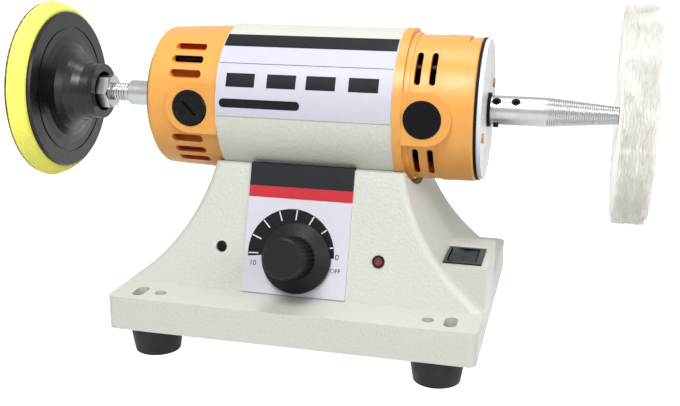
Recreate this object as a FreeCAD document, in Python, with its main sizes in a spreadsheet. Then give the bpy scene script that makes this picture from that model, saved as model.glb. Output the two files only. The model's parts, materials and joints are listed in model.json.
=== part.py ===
import FreeCAD
import Part
import math
import os
import Sketcher

# Bench polishing lathe: a foam pad on the left shaft end, a cotton buff on the tapered right one.
# X runs along the shaft, the front looks along -Y, and Z is up from the bench.

os.makedirs("parts", exist_ok=True)

Vector = FreeCAD.Vector
X_AXIS = Vector(1, 0, 0)
Y_AXIS = Vector(0, 1, 0)
Z_AXIS = Vector(0, 0, 1)
X_BACKWARDS = Vector(-1, 0, 0)

# Driving sizes in millimetres and degrees. Places along X are measured from the middle of the base.
SIZES = {
    # base casting
    "base_length": 191.0,
    "base_depth": 154.0,
    "plate_thickness": 17.5,
    "casting_wall": 4.0,
    "corner_radius": 4.0,
    "edge_round": 1.2,
    "pedestal_foot_depth": 104.4,
    "lip_wall": 4.55,
    "pedestal_lip_length": 102.0,
    "pedestal_height": 64.0,
    "flare_radius": 104.0,
    "flare_edge_round": 4.0,
    "cradle_clearance": 0.1,
    "relief_clearance": 0.5,
    "cavity_headroom": 5.0,
    # switch block
    "block_front": 43.6,
    "block_rear": 7.0,
    "block_height": 20.5,
    "block_reach": 35.5,
    "block_roof": 3.5,
    "block_wall": 3.6,
    # bench holes, feet and bottom cover
    "slot_inset": 14.0,
    "hole_row_inset": 11.5,
    "slot_width": 6.4,
    "slot_length": 12.5,
    "small_hole_inset": 25.3,
    "small_hole_radius": 3.0,
    "foot_end_inset": 20.5,
    "foot_side_inset": 16.0,
    "foot_height": 15.0,
    "foot_top_radius": 14.3,
    "foot_base_radius": 11.8,
    "foot_recess_radius": 6.2,
    "foot_web": 5.0,
    "foot_screw_radius": 1.6,
    "foot_screw_reach": 10.0,
    "washer_thickness": 1.2,
    "foot_screw_head": 2.2,
    "corner_pad_length": 37.5,
    "corner_pad_depth": 30.0,
    "cover_thickness": 2.0,
    "cover_ledge": 3.0,
    "cover_gap": 0.3,
    "cover_boss_radius": 4.5,
    "cover_screw_radius": 1.5,
    "cover_boss_inset": 6.5,
    "boss_overlap": 1.0,
    "cover_screw_length": 9.0,
    "pilot_depth": 8.0,
    # motor housing
    "axis_rise": 29.5,
    "barrel_radius": 40.4,
    "barrel_wall": 3.0,
    "barrel_left": 47.3,
    "barrel_right": 45.2,
    "cap_wall": 2.8,
    "cap_end_wall": 3.0,
    "cap_seat_drop": 1.1,
    "cap_end_drop": 2.8,
    "cap_edge_round": 3.0,
    "spigot_length": 5.0,
    "spigot_wall": 2.2,
    "left_cap_length": 39.9,
    "right_cap_length": 39.8,
    "collar_width": 4.6,
    "collar_proud": 0.4,
    "panel_band_depth": 0.5,
    "panel_band_start": 2.8,
    "panel_band_width": 15.0,
    "end_step_length": 6.7,
    "end_step_depth": 1.9,
    "end_step_half_width": 14.0,
    "vent_left_end": 12.7,
    "vent_length": 17.8,
    "vent_width": 4.2,
    "vent_low_angle": 25.6,
    "vent_pitch_angle": 11.85,
    "side_vent_width": 3.3,
    "side_vent_first": 10.9,
    "side_vent_pitch": 7.5,
    "side_vent_low_angle": 25.0,
    "side_vent_high_angle": 55.0,
    # brush gear and plugs
    "brush_setback": 14.4,
    "boss_radius": 13.1,
    "boss_drop": 0.5,
    "plug_setback": 15.0,
    "button_radius": 9.5,
    "button_seat": 2.9,
    "button_proud": 0.8,
    "button_shank_radius": 6.2,
    "button_shank_length": 5.0,
    "driver_slot_width": 1.3,
    "driver_slot_depth": 1.1,
    "small_slot_width": 0.8,
    "small_slot_depth": 0.8,
    "cap_rim_width": 1.3,
    "cap_dish": 0.35,
    "cap_slot_turn": 135.0,
    "holder_radius": 8.0,
    "holder_gap": 2.6,
    "holder_sleeve_wall": 2.2,
    "brush_width": 6.3,
    "brush_height": 8.3,
    "spring_length": 4.9,
    "brush_gap": 0.1,
    "spring_radius": 3.0,
    "spring_wall": 0.6,
    # end plates
    "ring_thickness": 1.4,
    "ring_drop": 0.6,
    "ring_bore_margin": 3.2,
    "disc_thickness": 2.1,
    "disc_drop": 1.2,
    "left_plate_thickness": 1.2,
    "left_plate_drop": 4.0,
    "bush_radius": 8.9,
    "bush_rim": 2.5,
    "bush_bore": 8.1,
    "bush_proud": 1.6,
    "disc_screw_inset": 9.2,
    "disc_screw_angle": 22.5,
    "disc_screw_radius": 1.5,
    "disc_screw_head_radius": 2.5,
    "disc_screw_head_height": 0.8,
    "disc_screw_grip": 2.5,
    # rating plate
    "rating_low_angle": -4.0,
    "rating_high_angle": 64.0,
    "rating_thickness": 0.4,
    "rating_margin": 0.4,
    # stator and through-bolts
    "stack_length": 36.0,
    "yoke_thickness": 6.4,
    "pole_depth": 6.4,
    "pole_shoe_thickness": 2.8,
    "pole_width": 28.0,
    "pole_angle": 50.0,
    "coil_angle": 70.0,
    "coil_overhang": 7.0,
    "coil_gap": 0.3,
    "bolt_inset": 4.7,
    "bolt_angle": 45.0,
    "bolt_radius": 1.8,
    "bolt_pillar_radius": 3.5,
    "bolt_pillar_length": 9.0,
    "bolt_head_radius": 3.1,
    "bolt_head_height": 1.7,
    "bolt_head_sink": 1.8,
    "baffle_gap": 1.1,
    "baffle_wall": 1.6,
    "motor_bolt_x": 31.0,
    "motor_bolt_radius": 2.45,
    "motor_bolt_head_radius": 4.3,
    "motor_bolt_head_height": 3.0,
    "motor_nut_width": 8.0,
    "motor_nut_height": 4.0,
    # rotor
    "shaft_radius": 4.0,
    "shaft_step": 1.0,
    "shaft_left_reach": 16.8,
    "shaft_right_reach": 19.0,
    "bearing_radius": 11.0,
    "bearing_width": 7.0,
    "bearing_race": 2.0,
    "bearing_shield": 0.4,
    "bearing_boss_wall": 3.0,
    "air_gap": 0.6,
    "armature_slots": 12.0,
    "armature_slot_width": 3.0,
    "armature_slot_depth": 7.0,
    "winding_length": 13.0,
    "winding_drop": 3.0,
    "commutator_radius": 11.0,
    "commutator_length": 15.0,
    "commutator_bars": 24.0,
    "fan_gap": 0.9,
    "fan_hub_radius": 9.0,
    "fan_setback": 23.5,
    "fan_length": 12.0,
    "fan_plate": 1.5,
    "fan_blades": 9.0,
    "fan_blade_thickness": 1.6,
    "fit": 0.03,
    "screw_play": 0.1,
    # left shaft end and pad
    "sleeve_gap": 4.8,
    "sleeve_length": 21.3,
    "sleeve_radius": 7.0,
    "stud_radius": 4.8,
    "stud_cover": 3.6,
    "run_out_depth": 0.4,
    "run_out_length": 1.0,
    "sleeve_screw_inset": 5.0,
    "stud_bare_length": 11.0,
    "nut_width": 17.0,
    "nut_height": 8.5,
    "insert_wall": 3.6,
    "nut_sink": 2.1,
    "hub_radius": 15.4,
    "hub_recess_radius": 11.2,
    "hub_recess_depth": 5.0,
    "hub_straight": 3.0,
    "pad_groove_inset": 8.9,
    "pad_groove_width": 1.2,
    "pad_groove_depth": 0.5,
    "trumpet_inset": 13.3,
    "hub_depth": 20.9,
    "flange_inset": 5.7,
    "flange_thickness": 2.0,
    "foam_thickness": 8.6,
    "foam_flare": 3.4,
    "pad_radius": 50.0,
    "hook_thickness": 1.0,
    # right shaft end and buff
    "spindle_gap": 1.1,
    "spindle_radius": 7.6,
    "spindle_length": 27.9,
    "taper_length": 51.5,
    "taper_tip_radius": 2.9,
    "set_screw_inset": 3.5,
    "set_screw_pitch": 9.8,
    "set_screw_radius": 2.3,
    "set_screw_sink": 0.8,
    "set_screw_angle": 44.0,
    "lock_screw_angle": 156.0,
    "lock_screw_radius": 1.4,
    "lock_screw_proud": 1.4,
    "buff_seat": 36.0,
    "buff_width": 16.5,
    "buff_radius": 55.3,
    "buff_crown": 2.6,
    # dial plate, knob and potentiometer
    "dial_left": 30.3,
    "dial_width": 55.6,
    "dial_thickness": 1.0,
    "dial_rise": 0.3,
    "dial_tab": 2.7,
    "knob_x": -1.7,
    "knob_rise": 19.9,
    "knob_skirt_radius": 18.5,
    "knob_skirt_height": 2.6,
    "knob_grip_base_radius": 11.0,
    "knob_grip_radius": 10.4,
    "knob_cone_height": 3.6,
    "knob_height": 27.0,
    "knob_gap": 0.5,
    "knob_flutes": 30.0,
    "knob_flute_radius": 1.0,
    "knob_flute_offset": 0.1,
    "knob_bevel": 1.2,
    "knob_recess_radius": 7.4,
    "knob_recess_depth": 2.2,
    "knob_socket_end": 3.5,
    "stem_radius": 3.0,
    "pot_bush_radius": 3.5,
    "pot_radius": 8.2,
    "pot_depth": 9.5,
    "pot_nut_width": 10.0,
    "pot_nut_height": 1.7,
    # indicator and front screw
    "lamp_x": 41.1,
    "lamp_rise": 21.7,
    "lamp_flange_radius": 3.3,
    "lamp_lens_radius": 2.2,
    "lamp_flange_height": 1.1,
    "front_screw_x": -43.7,
    "front_screw_rise": 22.6,
    "front_screw_recess_radius": 3.1,
    "front_screw_recess_depth": 2.2,
    "front_screw_radius": 1.5,
    "front_screw_length": 9.0,
    "front_nut_width": 5.5,
    "front_nut_height": 2.4,
    # rocker switch
    "switch_end_inset": 12.9,
    "switch_front_inset": 18.8,
    "bezel_rim_x": 1.0,
    "bezel_rim_y": 1.3,
    "bezel_height": 0.8,
    "bezel_round": 0.4,
    "switch_body_length": 17.6,
    "switch_body_width": 24.2,
    "switch_body_depth": 15.0,
    "rocker_offset": -0.7,
    "rocker_margin_x": 2.1,
    "rocker_margin_y": 1.4,
    "rocker_well_depth": 9.0,
    "rocker_side_gap": 0.8,
    "rocker_pivot_drop": 1.6,
    "rocker_pin_radius": 1.0,
    "rocker_tilt": 4.0,
    "rocker_dip": 0.9,
    "terminal_width": 6.3,
    "terminal_thickness": 0.8,
    "terminal_length": 8.0,
    "terminal_pitch": 7.0,
    # speed-control board and cord gland
    "board_length": 64.0,
    "board_depth": 50.0,
    "board_thickness": 1.6,
    "board_post_height": 6.0,
    "board_post_radius": 2.5,
    "board_post_inset": 4.0,
    "gland_inset": 8.5,
    "gland_rise": 12.0,
    "gland_bore": 3.2,
    "gland_thread_radius": 5.0,
    "gland_flange_radius": 8.0,
    "gland_length": 12.0,
    "gland_nut_width": 14.0,
    "gland_nut_height": 3.0,
    "gland_tail": 5.0,
    "gland_flange_thickness": 3.0,
}

doc = FreeCAD.newDocument("bench_polisher")
sheet = doc.addObject("Spreadsheet::Sheet", "dims")
for row, (name, value) in enumerate(SIZES.items(), 1):
    sheet.set("A%d" % row, name)
    sheet.set("B%d" % row, str(value))
    sheet.setAlias("B%d" % row, name)
doc.recompute()


class Size:
    """A size held as its number and as the sheet expression that gives it."""

    def __init__(self, value, text):
        self.value = value
        self.text = text

    def __add__(self, other):
        other = size(other)
        return Size(self.value + other.value, "(%s + %s)" % (self.text, other.text))

    def __sub__(self, other):
        other = size(other)
        return Size(self.value - other.value, "(%s - %s)" % (self.text, other.text))

    def __mul__(self, other):
        other = size(other)
        return Size(self.value * other.value, "(%s * %s)" % (self.text, other.text))

    def __truediv__(self, other):
        other = size(other)
        return Size(self.value / other.value, "(%s / %s)" % (self.text, other.text))

    def __radd__(self, other):
        return size(other) + self

    def __rsub__(self, other):
        return size(other) - self

    def __rmul__(self, other):
        return size(other) * self

    def __neg__(self):
        return size(0) - self


def size(item):
    """Give a plain number the same form as a size from the sheet."""
    if isinstance(item, Size):
        return item
    return Size(float(item), "(%.8f)" % item)


def root(item):
    return Size(math.sqrt(item.value), "sqrt(%s)" % item.text)


def sine(angle):
    angle = size(angle)
    return Size(math.sin(math.radians(angle.value)), "sin(%s)" % angle.text)


def cosine(angle):
    angle = size(angle)
    return Size(math.cos(math.radians(angle.value)), "cos(%s)" % angle.text)


class Sheet:
    """Reads a driving size by its name."""

    def __getattr__(self, name):
        return Size(SIZES[name], "dims." + name)


d = Sheet()

# Sizes and places that follow from the driving sizes
base_end = d.base_length / 2
plate_top = d.foot_height + d.plate_thickness
lip_height = plate_top + d.pedestal_height
half_foot = d.pedestal_foot_depth / 2
cradle_radius = d.barrel_radius + d.cradle_clearance
half_lip = root(cradle_radius * cradle_radius - d.axis_rise * d.axis_rise) + d.lip_wall
lean_run = half_foot - half_lip
slope_length = root(lean_run * lean_run + d.pedestal_height * d.pedestal_height)
lean_sine = lean_run / slope_length
lean_cosine = d.pedestal_height / slope_length
face_angle = Size(
    math.degrees(math.atan2(d.pedestal_height.value, lean_run.value)),
    "atan(%s / %s)" % (d.pedestal_height.text, lean_run.text),
)
plate_roof = plate_top - d.casting_wall
block_top = plate_top + d.block_height
cover_seat = d.foot_height + d.cover_gap + d.cover_thickness
axis_height = lip_height + d.axis_rise
cavity_top = axis_height - cradle_radius - d.cavity_headroom
cavity_step = (cavity_top - plate_top) / 3

# Places on the base, from its ends and sides
block_inner_end = base_end - d.block_reach
slot_x = base_end - d.slot_inset
hole_row_y = d.base_depth / 2 - d.hole_row_inset
small_hole_x = base_end - d.small_hole_inset
foot_x = base_end - d.foot_end_inset
foot_y = d.base_depth / 2 - d.foot_side_inset
corner_pad_x = base_end - d.corner_pad_length
corner_pad_y = d.base_depth / 2 - d.corner_pad_depth
cover_boss_x = corner_pad_x - d.cover_boss_inset
switch_x = base_end - d.switch_end_inset
switch_y = d.switch_front_inset - d.block_front
bezel_length = d.switch_body_length + d.bezel_rim_x * 2
bezel_width = d.switch_body_width + d.bezel_rim_y * 2
rocker_length = d.switch_body_length - d.rocker_margin_x * 2
rocker_width = d.switch_body_width - d.rocker_margin_y * 2

# Housing, from the barrel outwards
barrel_bore = d.barrel_radius - d.barrel_wall
cap_seat_radius = d.barrel_radius - d.cap_seat_drop
cap_end_radius = d.barrel_radius - d.cap_end_drop
collar_radius = d.barrel_radius + d.collar_proud
boss_reach = d.barrel_radius - d.boss_drop
left_cap_end = d.barrel_left + d.left_cap_length
right_cap_end = d.barrel_right + d.right_cap_length
left_plate_radius = cap_end_radius - d.left_plate_drop
ring_radius = cap_end_radius - d.ring_drop
disc_radius = cap_end_radius - d.disc_drop
disc_screw_circle = disc_radius - d.disc_screw_inset
ring_bore = disc_screw_circle - d.ring_bore_margin
ring_face = right_cap_end + d.ring_thickness
disc_face = ring_face + d.disc_thickness
brush_x = d.barrel_left + d.brush_setback
plug_x = d.barrel_right + d.plug_setback
bolt_circle = barrel_bore - d.bolt_inset
baffle_radius = bolt_circle - d.bolt_radius - d.baffle_gap

# Brush gear, from the boss face inwards to the commutator
button_face = boss_reach + d.button_proud
button_floor = boss_reach - d.button_seat
shank_end = button_floor - d.button_shank_length
brush_back = shank_end - d.spring_length
brush_front = d.commutator_radius + d.brush_gap
brush_length = brush_back - brush_front
holder_inner_end = d.commutator_radius + d.holder_gap

# Stator and rotor, from the barrel inwards
stator_inner_radius = barrel_bore - d.yoke_thickness
pole_bore_radius = stator_inner_radius - d.pole_depth
armature_radius = pole_bore_radius - d.air_gap
winding_radius = armature_radius - d.winding_drop
shaft_core_radius = d.shaft_radius + d.shaft_step
shaft_left_end = left_cap_end + d.shaft_left_reach
shaft_right_end = right_cap_end + d.shaft_right_reach
left_bearing = left_cap_end - d.cap_end_wall - d.bearing_width
right_bearing = right_cap_end - d.cap_end_wall - d.bearing_width
fan_start = right_bearing - d.fan_setback
fan_radius = bolt_circle - d.bolt_radius - d.fan_gap

# Left shaft end, from the cap outwards to the face of the pad
sleeve_start = left_cap_end + d.sleeve_gap
sleeve_end = sleeve_start + d.sleeve_length
nut_start = sleeve_end + d.stud_bare_length
hub_face = nut_start + d.nut_height - d.nut_sink
flange_face = hub_face + d.hub_depth
stud_end = flange_face - d.stud_cover
insert_radius = d.stud_radius + d.insert_wall
flange_radius = d.pad_radius - d.flange_inset
pad_groove_radius = flange_radius - d.pad_groove_inset
trumpet_radius = flange_radius - d.trumpet_inset
foam_inner_radius = d.pad_radius - d.foam_flare
flange_back = flange_face + d.flange_thickness
foam_face = flange_back + d.foam_thickness
pad_face = foam_face + d.hook_thickness

# Right shaft end, from the end disc outwards to the face of the buff
spindle_start = disc_face + d.spindle_gap
taper_start = spindle_start + d.spindle_length
taper_end = taper_start + d.taper_length
set_screw_near = spindle_start + d.set_screw_inset
buff_start = taper_start + d.buff_seat
buff_face = buff_start + d.buff_width
# The origin is under the middle of the whole object, so everything moves along X by this
shift = (pad_face - buff_face) / 2


def set_place(item, x=0, y=0, z=0, axis=None, angle=None):
    """Place a piece, with each part of its place bound to the sheet."""
    if axis is not None:
        item.Placement = FreeCAD.Placement(Vector(0, 0, 0), FreeCAD.Rotation(axis, size(angle).value))
        item.setExpression(".Placement.Rotation.Angle", size(angle).text)
    item.setExpression(".Placement.Base.x", (shift + x).text)
    item.setExpression(".Placement.Base.y", size(y).text)
    item.setExpression(".Placement.Base.z", size(z).text)


def new_body(label, x=0, y=0, z=0, axis=None, angle=None):
    body = doc.addObject("PartDesign::Body", label)
    body.Label = label
    set_place(body, x, y, z, axis, angle)
    return body


def ground_body(label):
    """A piece drawn in the frame of the base, with Z up from the bench."""
    return new_body(label)


def axis_body(label):
    """A piece drawn about the shaft axis."""
    return new_body(label, z=axis_height)


def panel_body(label, x=0, rise=0):
    """A piece drawn on the slanted front face, with its own Z pointing out of the face."""
    return new_body(
        label,
        x=x,
        y=-half_foot + rise * lean_sine,
        z=plate_top + rise * lean_cosine,
        axis=X_AXIS,
        angle=face_angle,
    )


def new_sketch(body, plane, name, x=0, y=0, z=0, axis=None, angle=None):
    """A sketch on one of the body's own origin planes, with a bound offset from it."""
    sketch = body.newObject("Sketcher::SketchObject", body.Label + "_" + name)
    for feature in body.Origin.OriginFeatures:
        if feature.Role == plane:
            sketch.AttachmentSupport = (feature, "")
    sketch.MapMode = "FlatFace"
    if axis is not None:
        turn = FreeCAD.Rotation(axis, size(angle).value)
        sketch.AttachmentOffset = FreeCAD.Placement(Vector(0, 0, 0), turn)
        sketch.setExpression("AttachmentOffset.Rotation.Angle", size(angle).text)
    sketch.setExpression("AttachmentOffset.Base.x", size(x).text)
    sketch.setExpression("AttachmentOffset.Base.y", size(y).text)
    sketch.setExpression("AttachmentOffset.Base.z", size(z).text)
    return sketch


def bind(sketch, kind, *parts):
    """Add a constraint whose value is the last of its parts, bound to the sheet."""
    amount = size(parts[-1])
    number = sketch.addConstraint(Sketcher.Constraint(kind, *parts[:-1], amount.value))
    sketch.setExpression("Constraints[%d]" % number, amount.text)


def pin_point(sketch, edge, end, x, y):
    bind(sketch, "DistanceX", -1, 1, edge, end, x)
    bind(sketch, "DistanceY", -1, 1, edge, end, y)


def outline(sketch, corners):
    """A closed outline of straight edges through the given corners."""
    points = [Vector(size(x).value, size(y).value, 0) for x, y in corners]
    first = sketch.GeometryCount
    count = len(points)
    for index, point in enumerate(points):
        sketch.addGeometry(Part.LineSegment(point, points[(index + 1) % count]), False)
    for index, (x, y) in enumerate(corners):
        following = first + (index + 1) % count
        sketch.addConstraint(Sketcher.Constraint("Coincident", first + index, 2, following, 1))
        pin_point(sketch, first + index, 1, x, y)


def rectangle(sketch, left, right, low, high):
    outline(sketch, [(left, low), (right, low), (right, high), (left, high)])


def circle(sketch, x, y, radius):
    middle = Vector(size(x).value, size(y).value, 0)
    edge = sketch.addGeometry(Part.Circle(middle, Z_AXIS, size(radius).value), False)
    bind(sketch, "Radius", edge, radius)
    pin_point(sketch, edge, 3, x, y)


def half_turn(sketch, x, y, radius, start, before, after):
    """A half circle that joins two straight edges, from the end of one to the start of the other."""
    middle = Vector(size(x).value, size(y).value, 0)
    ring = Part.Circle(middle, Z_AXIS, size(radius).value)
    edge = sketch.addGeometry(Part.ArcOfCircle(ring, start, start + math.pi), False)
    sketch.addConstraint(Sketcher.Constraint("Coincident", before[0], before[1], edge, 1))
    sketch.addConstraint(Sketcher.Constraint("Coincident", after[0], after[1], edge, 2))
    return edge


def upright_slot(sketch, x, low, high, radius):
    """A slot along the sketch's Y, with round ends."""
    first = sketch.GeometryCount
    corners = [(x + radius, low + radius), (x + radius, high - radius)]
    corners += [(x - radius, high - radius), (x - radius, low + radius)]
    ends = [Vector(size(a).value, size(b).value, 0) for a, b in corners]
    sketch.addGeometry(Part.LineSegment(ends[0], ends[1]), False)
    sketch.addGeometry(Part.LineSegment(ends[2], ends[3]), False)
    for place, (a, b) in enumerate(corners):
        pin_point(sketch, first + place // 2, place % 2 + 1, a, b)
    top = half_turn(sketch, x, high - radius, radius, 0, (first, 2), (first + 1, 1))
    bind(sketch, "DistanceY", -1, 1, top, 3, high - radius)
    base = half_turn(sketch, x, low + radius, radius, math.pi, (first + 1, 2), (first, 1))
    bind(sketch, "DistanceY", -1, 1, base, 3, low + radius)


def level_slot(sketch, left, right, y, radius):
    """A slot along the sketch's X, with round ends."""
    first = sketch.GeometryCount
    corners = [(right - radius, y + radius), (left + radius, y + radius)]
    corners += [(left + radius, y - radius), (right - radius, y - radius)]
    ends = [Vector(size(a).value, size(b).value, 0) for a, b in corners]
    sketch.addGeometry(Part.LineSegment(ends[0], ends[1]), False)
    sketch.addGeometry(Part.LineSegment(ends[2], ends[3]), False)
    for place, (a, b) in enumerate(corners):
        pin_point(sketch, first + place // 2, place % 2 + 1, a, b)
    near = half_turn(sketch, left + radius, y, radius, math.pi / 2, (first, 2), (first + 1, 1))
    bind(sketch, "DistanceX", -1, 1, near, 3, left + radius)
    far = half_turn(sketch, right - radius, y, radius, -math.pi / 2, (first + 1, 2), (first, 1))
    bind(sketch, "DistanceX", -1, 1, far, 3, right - radius)


def boss_outline(sketch, side, start, middle, radius):
    """A U-shaped outline: a flat side at start and a round end about middle, towards side."""
    first = sketch.GeometryCount
    corners = [(start, -side * radius), (middle, -side * radius), (middle, side * radius)]
    corners.append((start, side * radius))
    ends = [Vector(size(a).value, size(b).value, 0) for a, b in corners]
    sketch.addGeometry(Part.LineSegment(ends[0], ends[1]), False)
    sketch.addGeometry(Part.LineSegment(ends[2], ends[3]), False)
    sketch.addGeometry(Part.LineSegment(ends[3], ends[0]), False)
    for place, (a, b) in enumerate(corners):
        pin_point(sketch, first + place // 2, place % 2 + 1, a, b)
    sketch.addConstraint(Sketcher.Constraint("Coincident", first + 1, 2, first + 2, 1))
    sketch.addConstraint(Sketcher.Constraint("Coincident", first + 2, 2, first, 1))
    begin = -math.pi / 2 if side > 0 else math.pi / 2
    edge = half_turn(sketch, middle, 0, radius, begin, (first, 2), (first + 1, 1))
    bind(sketch, "DistanceX", -1, 1, edge, 3, middle)


def sector(sketch, inner, outer, low, high):
    """A stretch of a ring about the sketch's origin, between two angles from its X axis."""
    first = sketch.GeometryCount
    for radius in (inner, outer):
        ring = Part.Circle(Vector(0, 0, 0), Z_AXIS, size(radius).value)
        arc = Part.ArcOfCircle(ring, math.radians(size(low).value), math.radians(size(high).value))
        edge = sketch.addGeometry(arc, False)
        sketch.addConstraint(Sketcher.Constraint("Coincident", edge, 3, -1, 1))
        pin_point(sketch, edge, 1, radius * cosine(low), radius * sine(low))
        upright = abs(math.cos(math.radians(size(high).value))) > math.sqrt(0.5)
        if upright:
            bind(sketch, "DistanceY", -1, 1, edge, 2, radius * sine(high))
        else:
            bind(sketch, "DistanceX", -1, 1, edge, 2, radius * cosine(high))
    for end in (1, 2):
        angle = math.radians(size(low if end == 1 else high).value)
        ray = Vector(math.cos(angle), math.sin(angle), 0)
        line = Part.LineSegment(ray * size(inner).value, ray * size(outer).value)
        edge = sketch.addGeometry(line, False)
        sketch.addConstraint(Sketcher.Constraint("Coincident", edge, 1, first, end))
        sketch.addConstraint(Sketcher.Constraint("Coincident", edge, 2, first + 1, end))


def pad(body, sketch, depth, symmetric=False, backwards=False):
    feature = body.newObject("PartDesign::Pad", sketch.Name + "_pad")
    feature.Profile = sketch
    feature.SideType = "Symmetric" if symmetric else "One side"
    feature.Reversed = backwards
    feature.setExpression("Length", size(depth).text)
    return feature


def pocket(body, sketch, depth=None, symmetric=False, backwards=False):
    """Cut a sketch into the body, right through it where no depth is given."""
    feature = body.newObject("PartDesign::Pocket", sketch.Name + "_cut")
    feature.Profile = sketch
    feature.SideType = "Symmetric" if symmetric else "One side"
    feature.Reversed = backwards
    if depth is None:
        feature.Type = "ThroughAll"
    else:
        feature.setExpression("Length", size(depth).text)
    return feature


def turned(body, name, corners, upright=False):
    """A solid turned about the body's X axis, or its Z axis, from a half section on the XZ plane."""
    sketch = new_sketch(body, "XZ_Plane", name)
    outline(sketch, corners)
    feature = body.newObject("PartDesign::Revolution", sketch.Name + "_turn")
    feature.Profile = sketch
    feature.ReferenceAxis = (sketch, ["V_Axis" if upright else "H_Axis"])
    feature.Angle = 360
    return feature


def turned_cut(body, name, corners):
    """A cut turned about the body's X axis."""
    sketch = new_sketch(body, "XZ_Plane", name)
    outline(sketch, corners)
    feature = body.newObject("PartDesign::Groove", sketch.Name + "_groove")
    feature.Profile = sketch
    feature.ReferenceAxis = (sketch, ["H_Axis"])
    feature.Angle = 360
    return feature


def repeat_round(body, feature, sketch, axis, count):
    """Repeat a feature round an axis of its sketch."""
    pattern = body.newObject("PartDesign::PolarPattern", feature.Name + "_pattern")
    pattern.Originals = [feature]
    pattern.Axis = (sketch, [axis])
    pattern.Angle = 360
    pattern.setExpression("Occurrences", size(count).text)
    body.Tip = pattern
    return pattern


def round_edges(body, name, radius, wanted):
    """Round the edges of the body that wanted picks by their shape and place."""
    doc.recompute()
    base = body.Tip
    picked = ["Edge%d" % (i + 1) for i, edge in enumerate(base.Shape.Edges) if wanted(edge)]
    if not picked:
        raise RuntimeError("no edge found for " + name)
    feature = body.newObject("PartDesign::Fillet", body.Label + "_" + name)
    feature.Base = (base, picked)
    feature.setExpression("Radius", size(radius).text)
    return feature


def near(one, other, gap=0.01):
    return abs(one - size(other).value) < gap


def middle_of(edge):
    return edge.valueAt((edge.FirstParameter + edge.LastParameter) / 2)


def group(label, members):
    """Separate solids that share one node."""
    item = doc.addObject("Part::Compound", label)
    item.Label = label
    item.Links = members
    return item


def turned_bolt(body, head_radius, head_height, shank_radius, shank_length):
    """A bolt along the body's Z, with its head above the origin."""
    corners = [(0, -shank_length), (shank_radius, -shank_length), (shank_radius, 0)]
    corners += [(head_radius, 0), (head_radius, head_height), (0, head_height)]
    turned(body, "bolt", corners, upright=True)


def slotted_bolt(body, head_radius, head_height, shank_radius, shank_length):
    """A small bolt with a slot right across its head."""
    turned_bolt(body, head_radius, head_height, shank_radius, shank_length)
    driver_slot(body, "slot", head_height, head_radius * 3, d.small_slot_width, d.small_slot_depth)


def driver_slot(body, name, top, length, width, depth, turn=0):
    """A straight slot for a screwdriver in the top of a piece."""
    sketch = new_sketch(body, "XY_Plane", name, z=top, axis=Z_AXIS, angle=turn)
    rectangle(sketch, -length / 2, length / 2, -width / 2, width / 2)
    pocket(body, sketch, depth)


def hexagon(sketch, width, start=0):
    """A regular hexagon about the sketch's origin, across whose flats the width lies."""
    corner = width / 2 / cosine(30)
    turns = [start + 60 * number for number in range(6)]
    outline(sketch, [(corner * cosine(turn), corner * sine(turn)) for turn in turns])


# Base casting and what is on it


def flare_at(height):
    """How far from the middle the flared side is at a height, on its circle through foot and lip."""
    run = base_end - d.pedestal_lip_length / 2
    chord = root(run * run + d.pedestal_height * d.pedestal_height)
    back = root(d.flare_radius * d.flare_radius - chord * chord / 4)
    centre_x = (base_end + d.pedestal_lip_length / 2) / 2 + back * d.pedestal_height / chord
    centre_z = (plate_top + lip_height) / 2 + back * run / chord
    drop = centre_z - height
    return centre_x - root(d.flare_radius * d.flare_radius - drop * drop), centre_x, centre_z


def face_depth(height):
    """How far from the middle the slanted face is at a height."""
    return half_foot - (height - plate_top) * lean_run / d.pedestal_height


def flare_sketch(body):
    sketch = new_sketch(body, "XZ_Plane", "flares")
    lip_end = d.pedestal_lip_length / 2
    centre_x, centre_z = flare_at(plate_top)[1:]
    corners = [(-base_end, plate_top), (base_end, plate_top), (lip_end, lip_height), (-lip_end, lip_height)]
    ends = [Vector(x.value, z.value, 0) for x, z in corners]
    sketch.addGeometry(Part.LineSegment(ends[0], ends[1]), False)
    sketch.addGeometry(Part.LineSegment(ends[2], ends[3]), False)
    for place, (x, z) in enumerate(corners):
        pin_point(sketch, place // 2, place % 2 + 1, x, z)
    # Each arc runs the same way round its own centre: down the right side, up the left one
    for side, start, stop in ((1, (1, 1), (0, 2)), (-1, (0, 1), (1, 2))):
        middle = Vector(side * centre_x.value, centre_z.value, 0)
        start_ray = sketch.getPoint(*start) - middle
        stop_ray = sketch.getPoint(*stop) - middle
        ring = Part.Circle(middle, Z_AXIS, d.flare_radius.value)
        begin = math.atan2(start_ray.y, start_ray.x)
        turn = (math.atan2(stop_ray.y, stop_ray.x) - begin) % (2 * math.pi)
        edge = sketch.addGeometry(Part.ArcOfCircle(ring, begin, begin + turn), False)
        sketch.addConstraint(Sketcher.Constraint("Coincident", start[0], start[1], edge, 1))
        sketch.addConstraint(Sketcher.Constraint("Coincident", stop[0], stop[1], edge, 2))
        bind(sketch, "Radius", edge, d.flare_radius)
    return sketch


def cross_corners(margin):
    """The plus-shaped outline that leaves the four corners of the plate solid."""
    long_x = base_end - d.casting_wall - margin
    short_x = corner_pad_x - margin
    long_y = d.base_depth / 2 - d.casting_wall - margin
    short_y = corner_pad_y - margin
    quarter = [(long_x, short_y), (short_x, short_y), (short_x, long_y)]
    left = [(-x, y) for x, y in reversed(quarter)]
    corners = quarter + left
    return corners + [(-x, -y) for x, y in corners]


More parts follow.
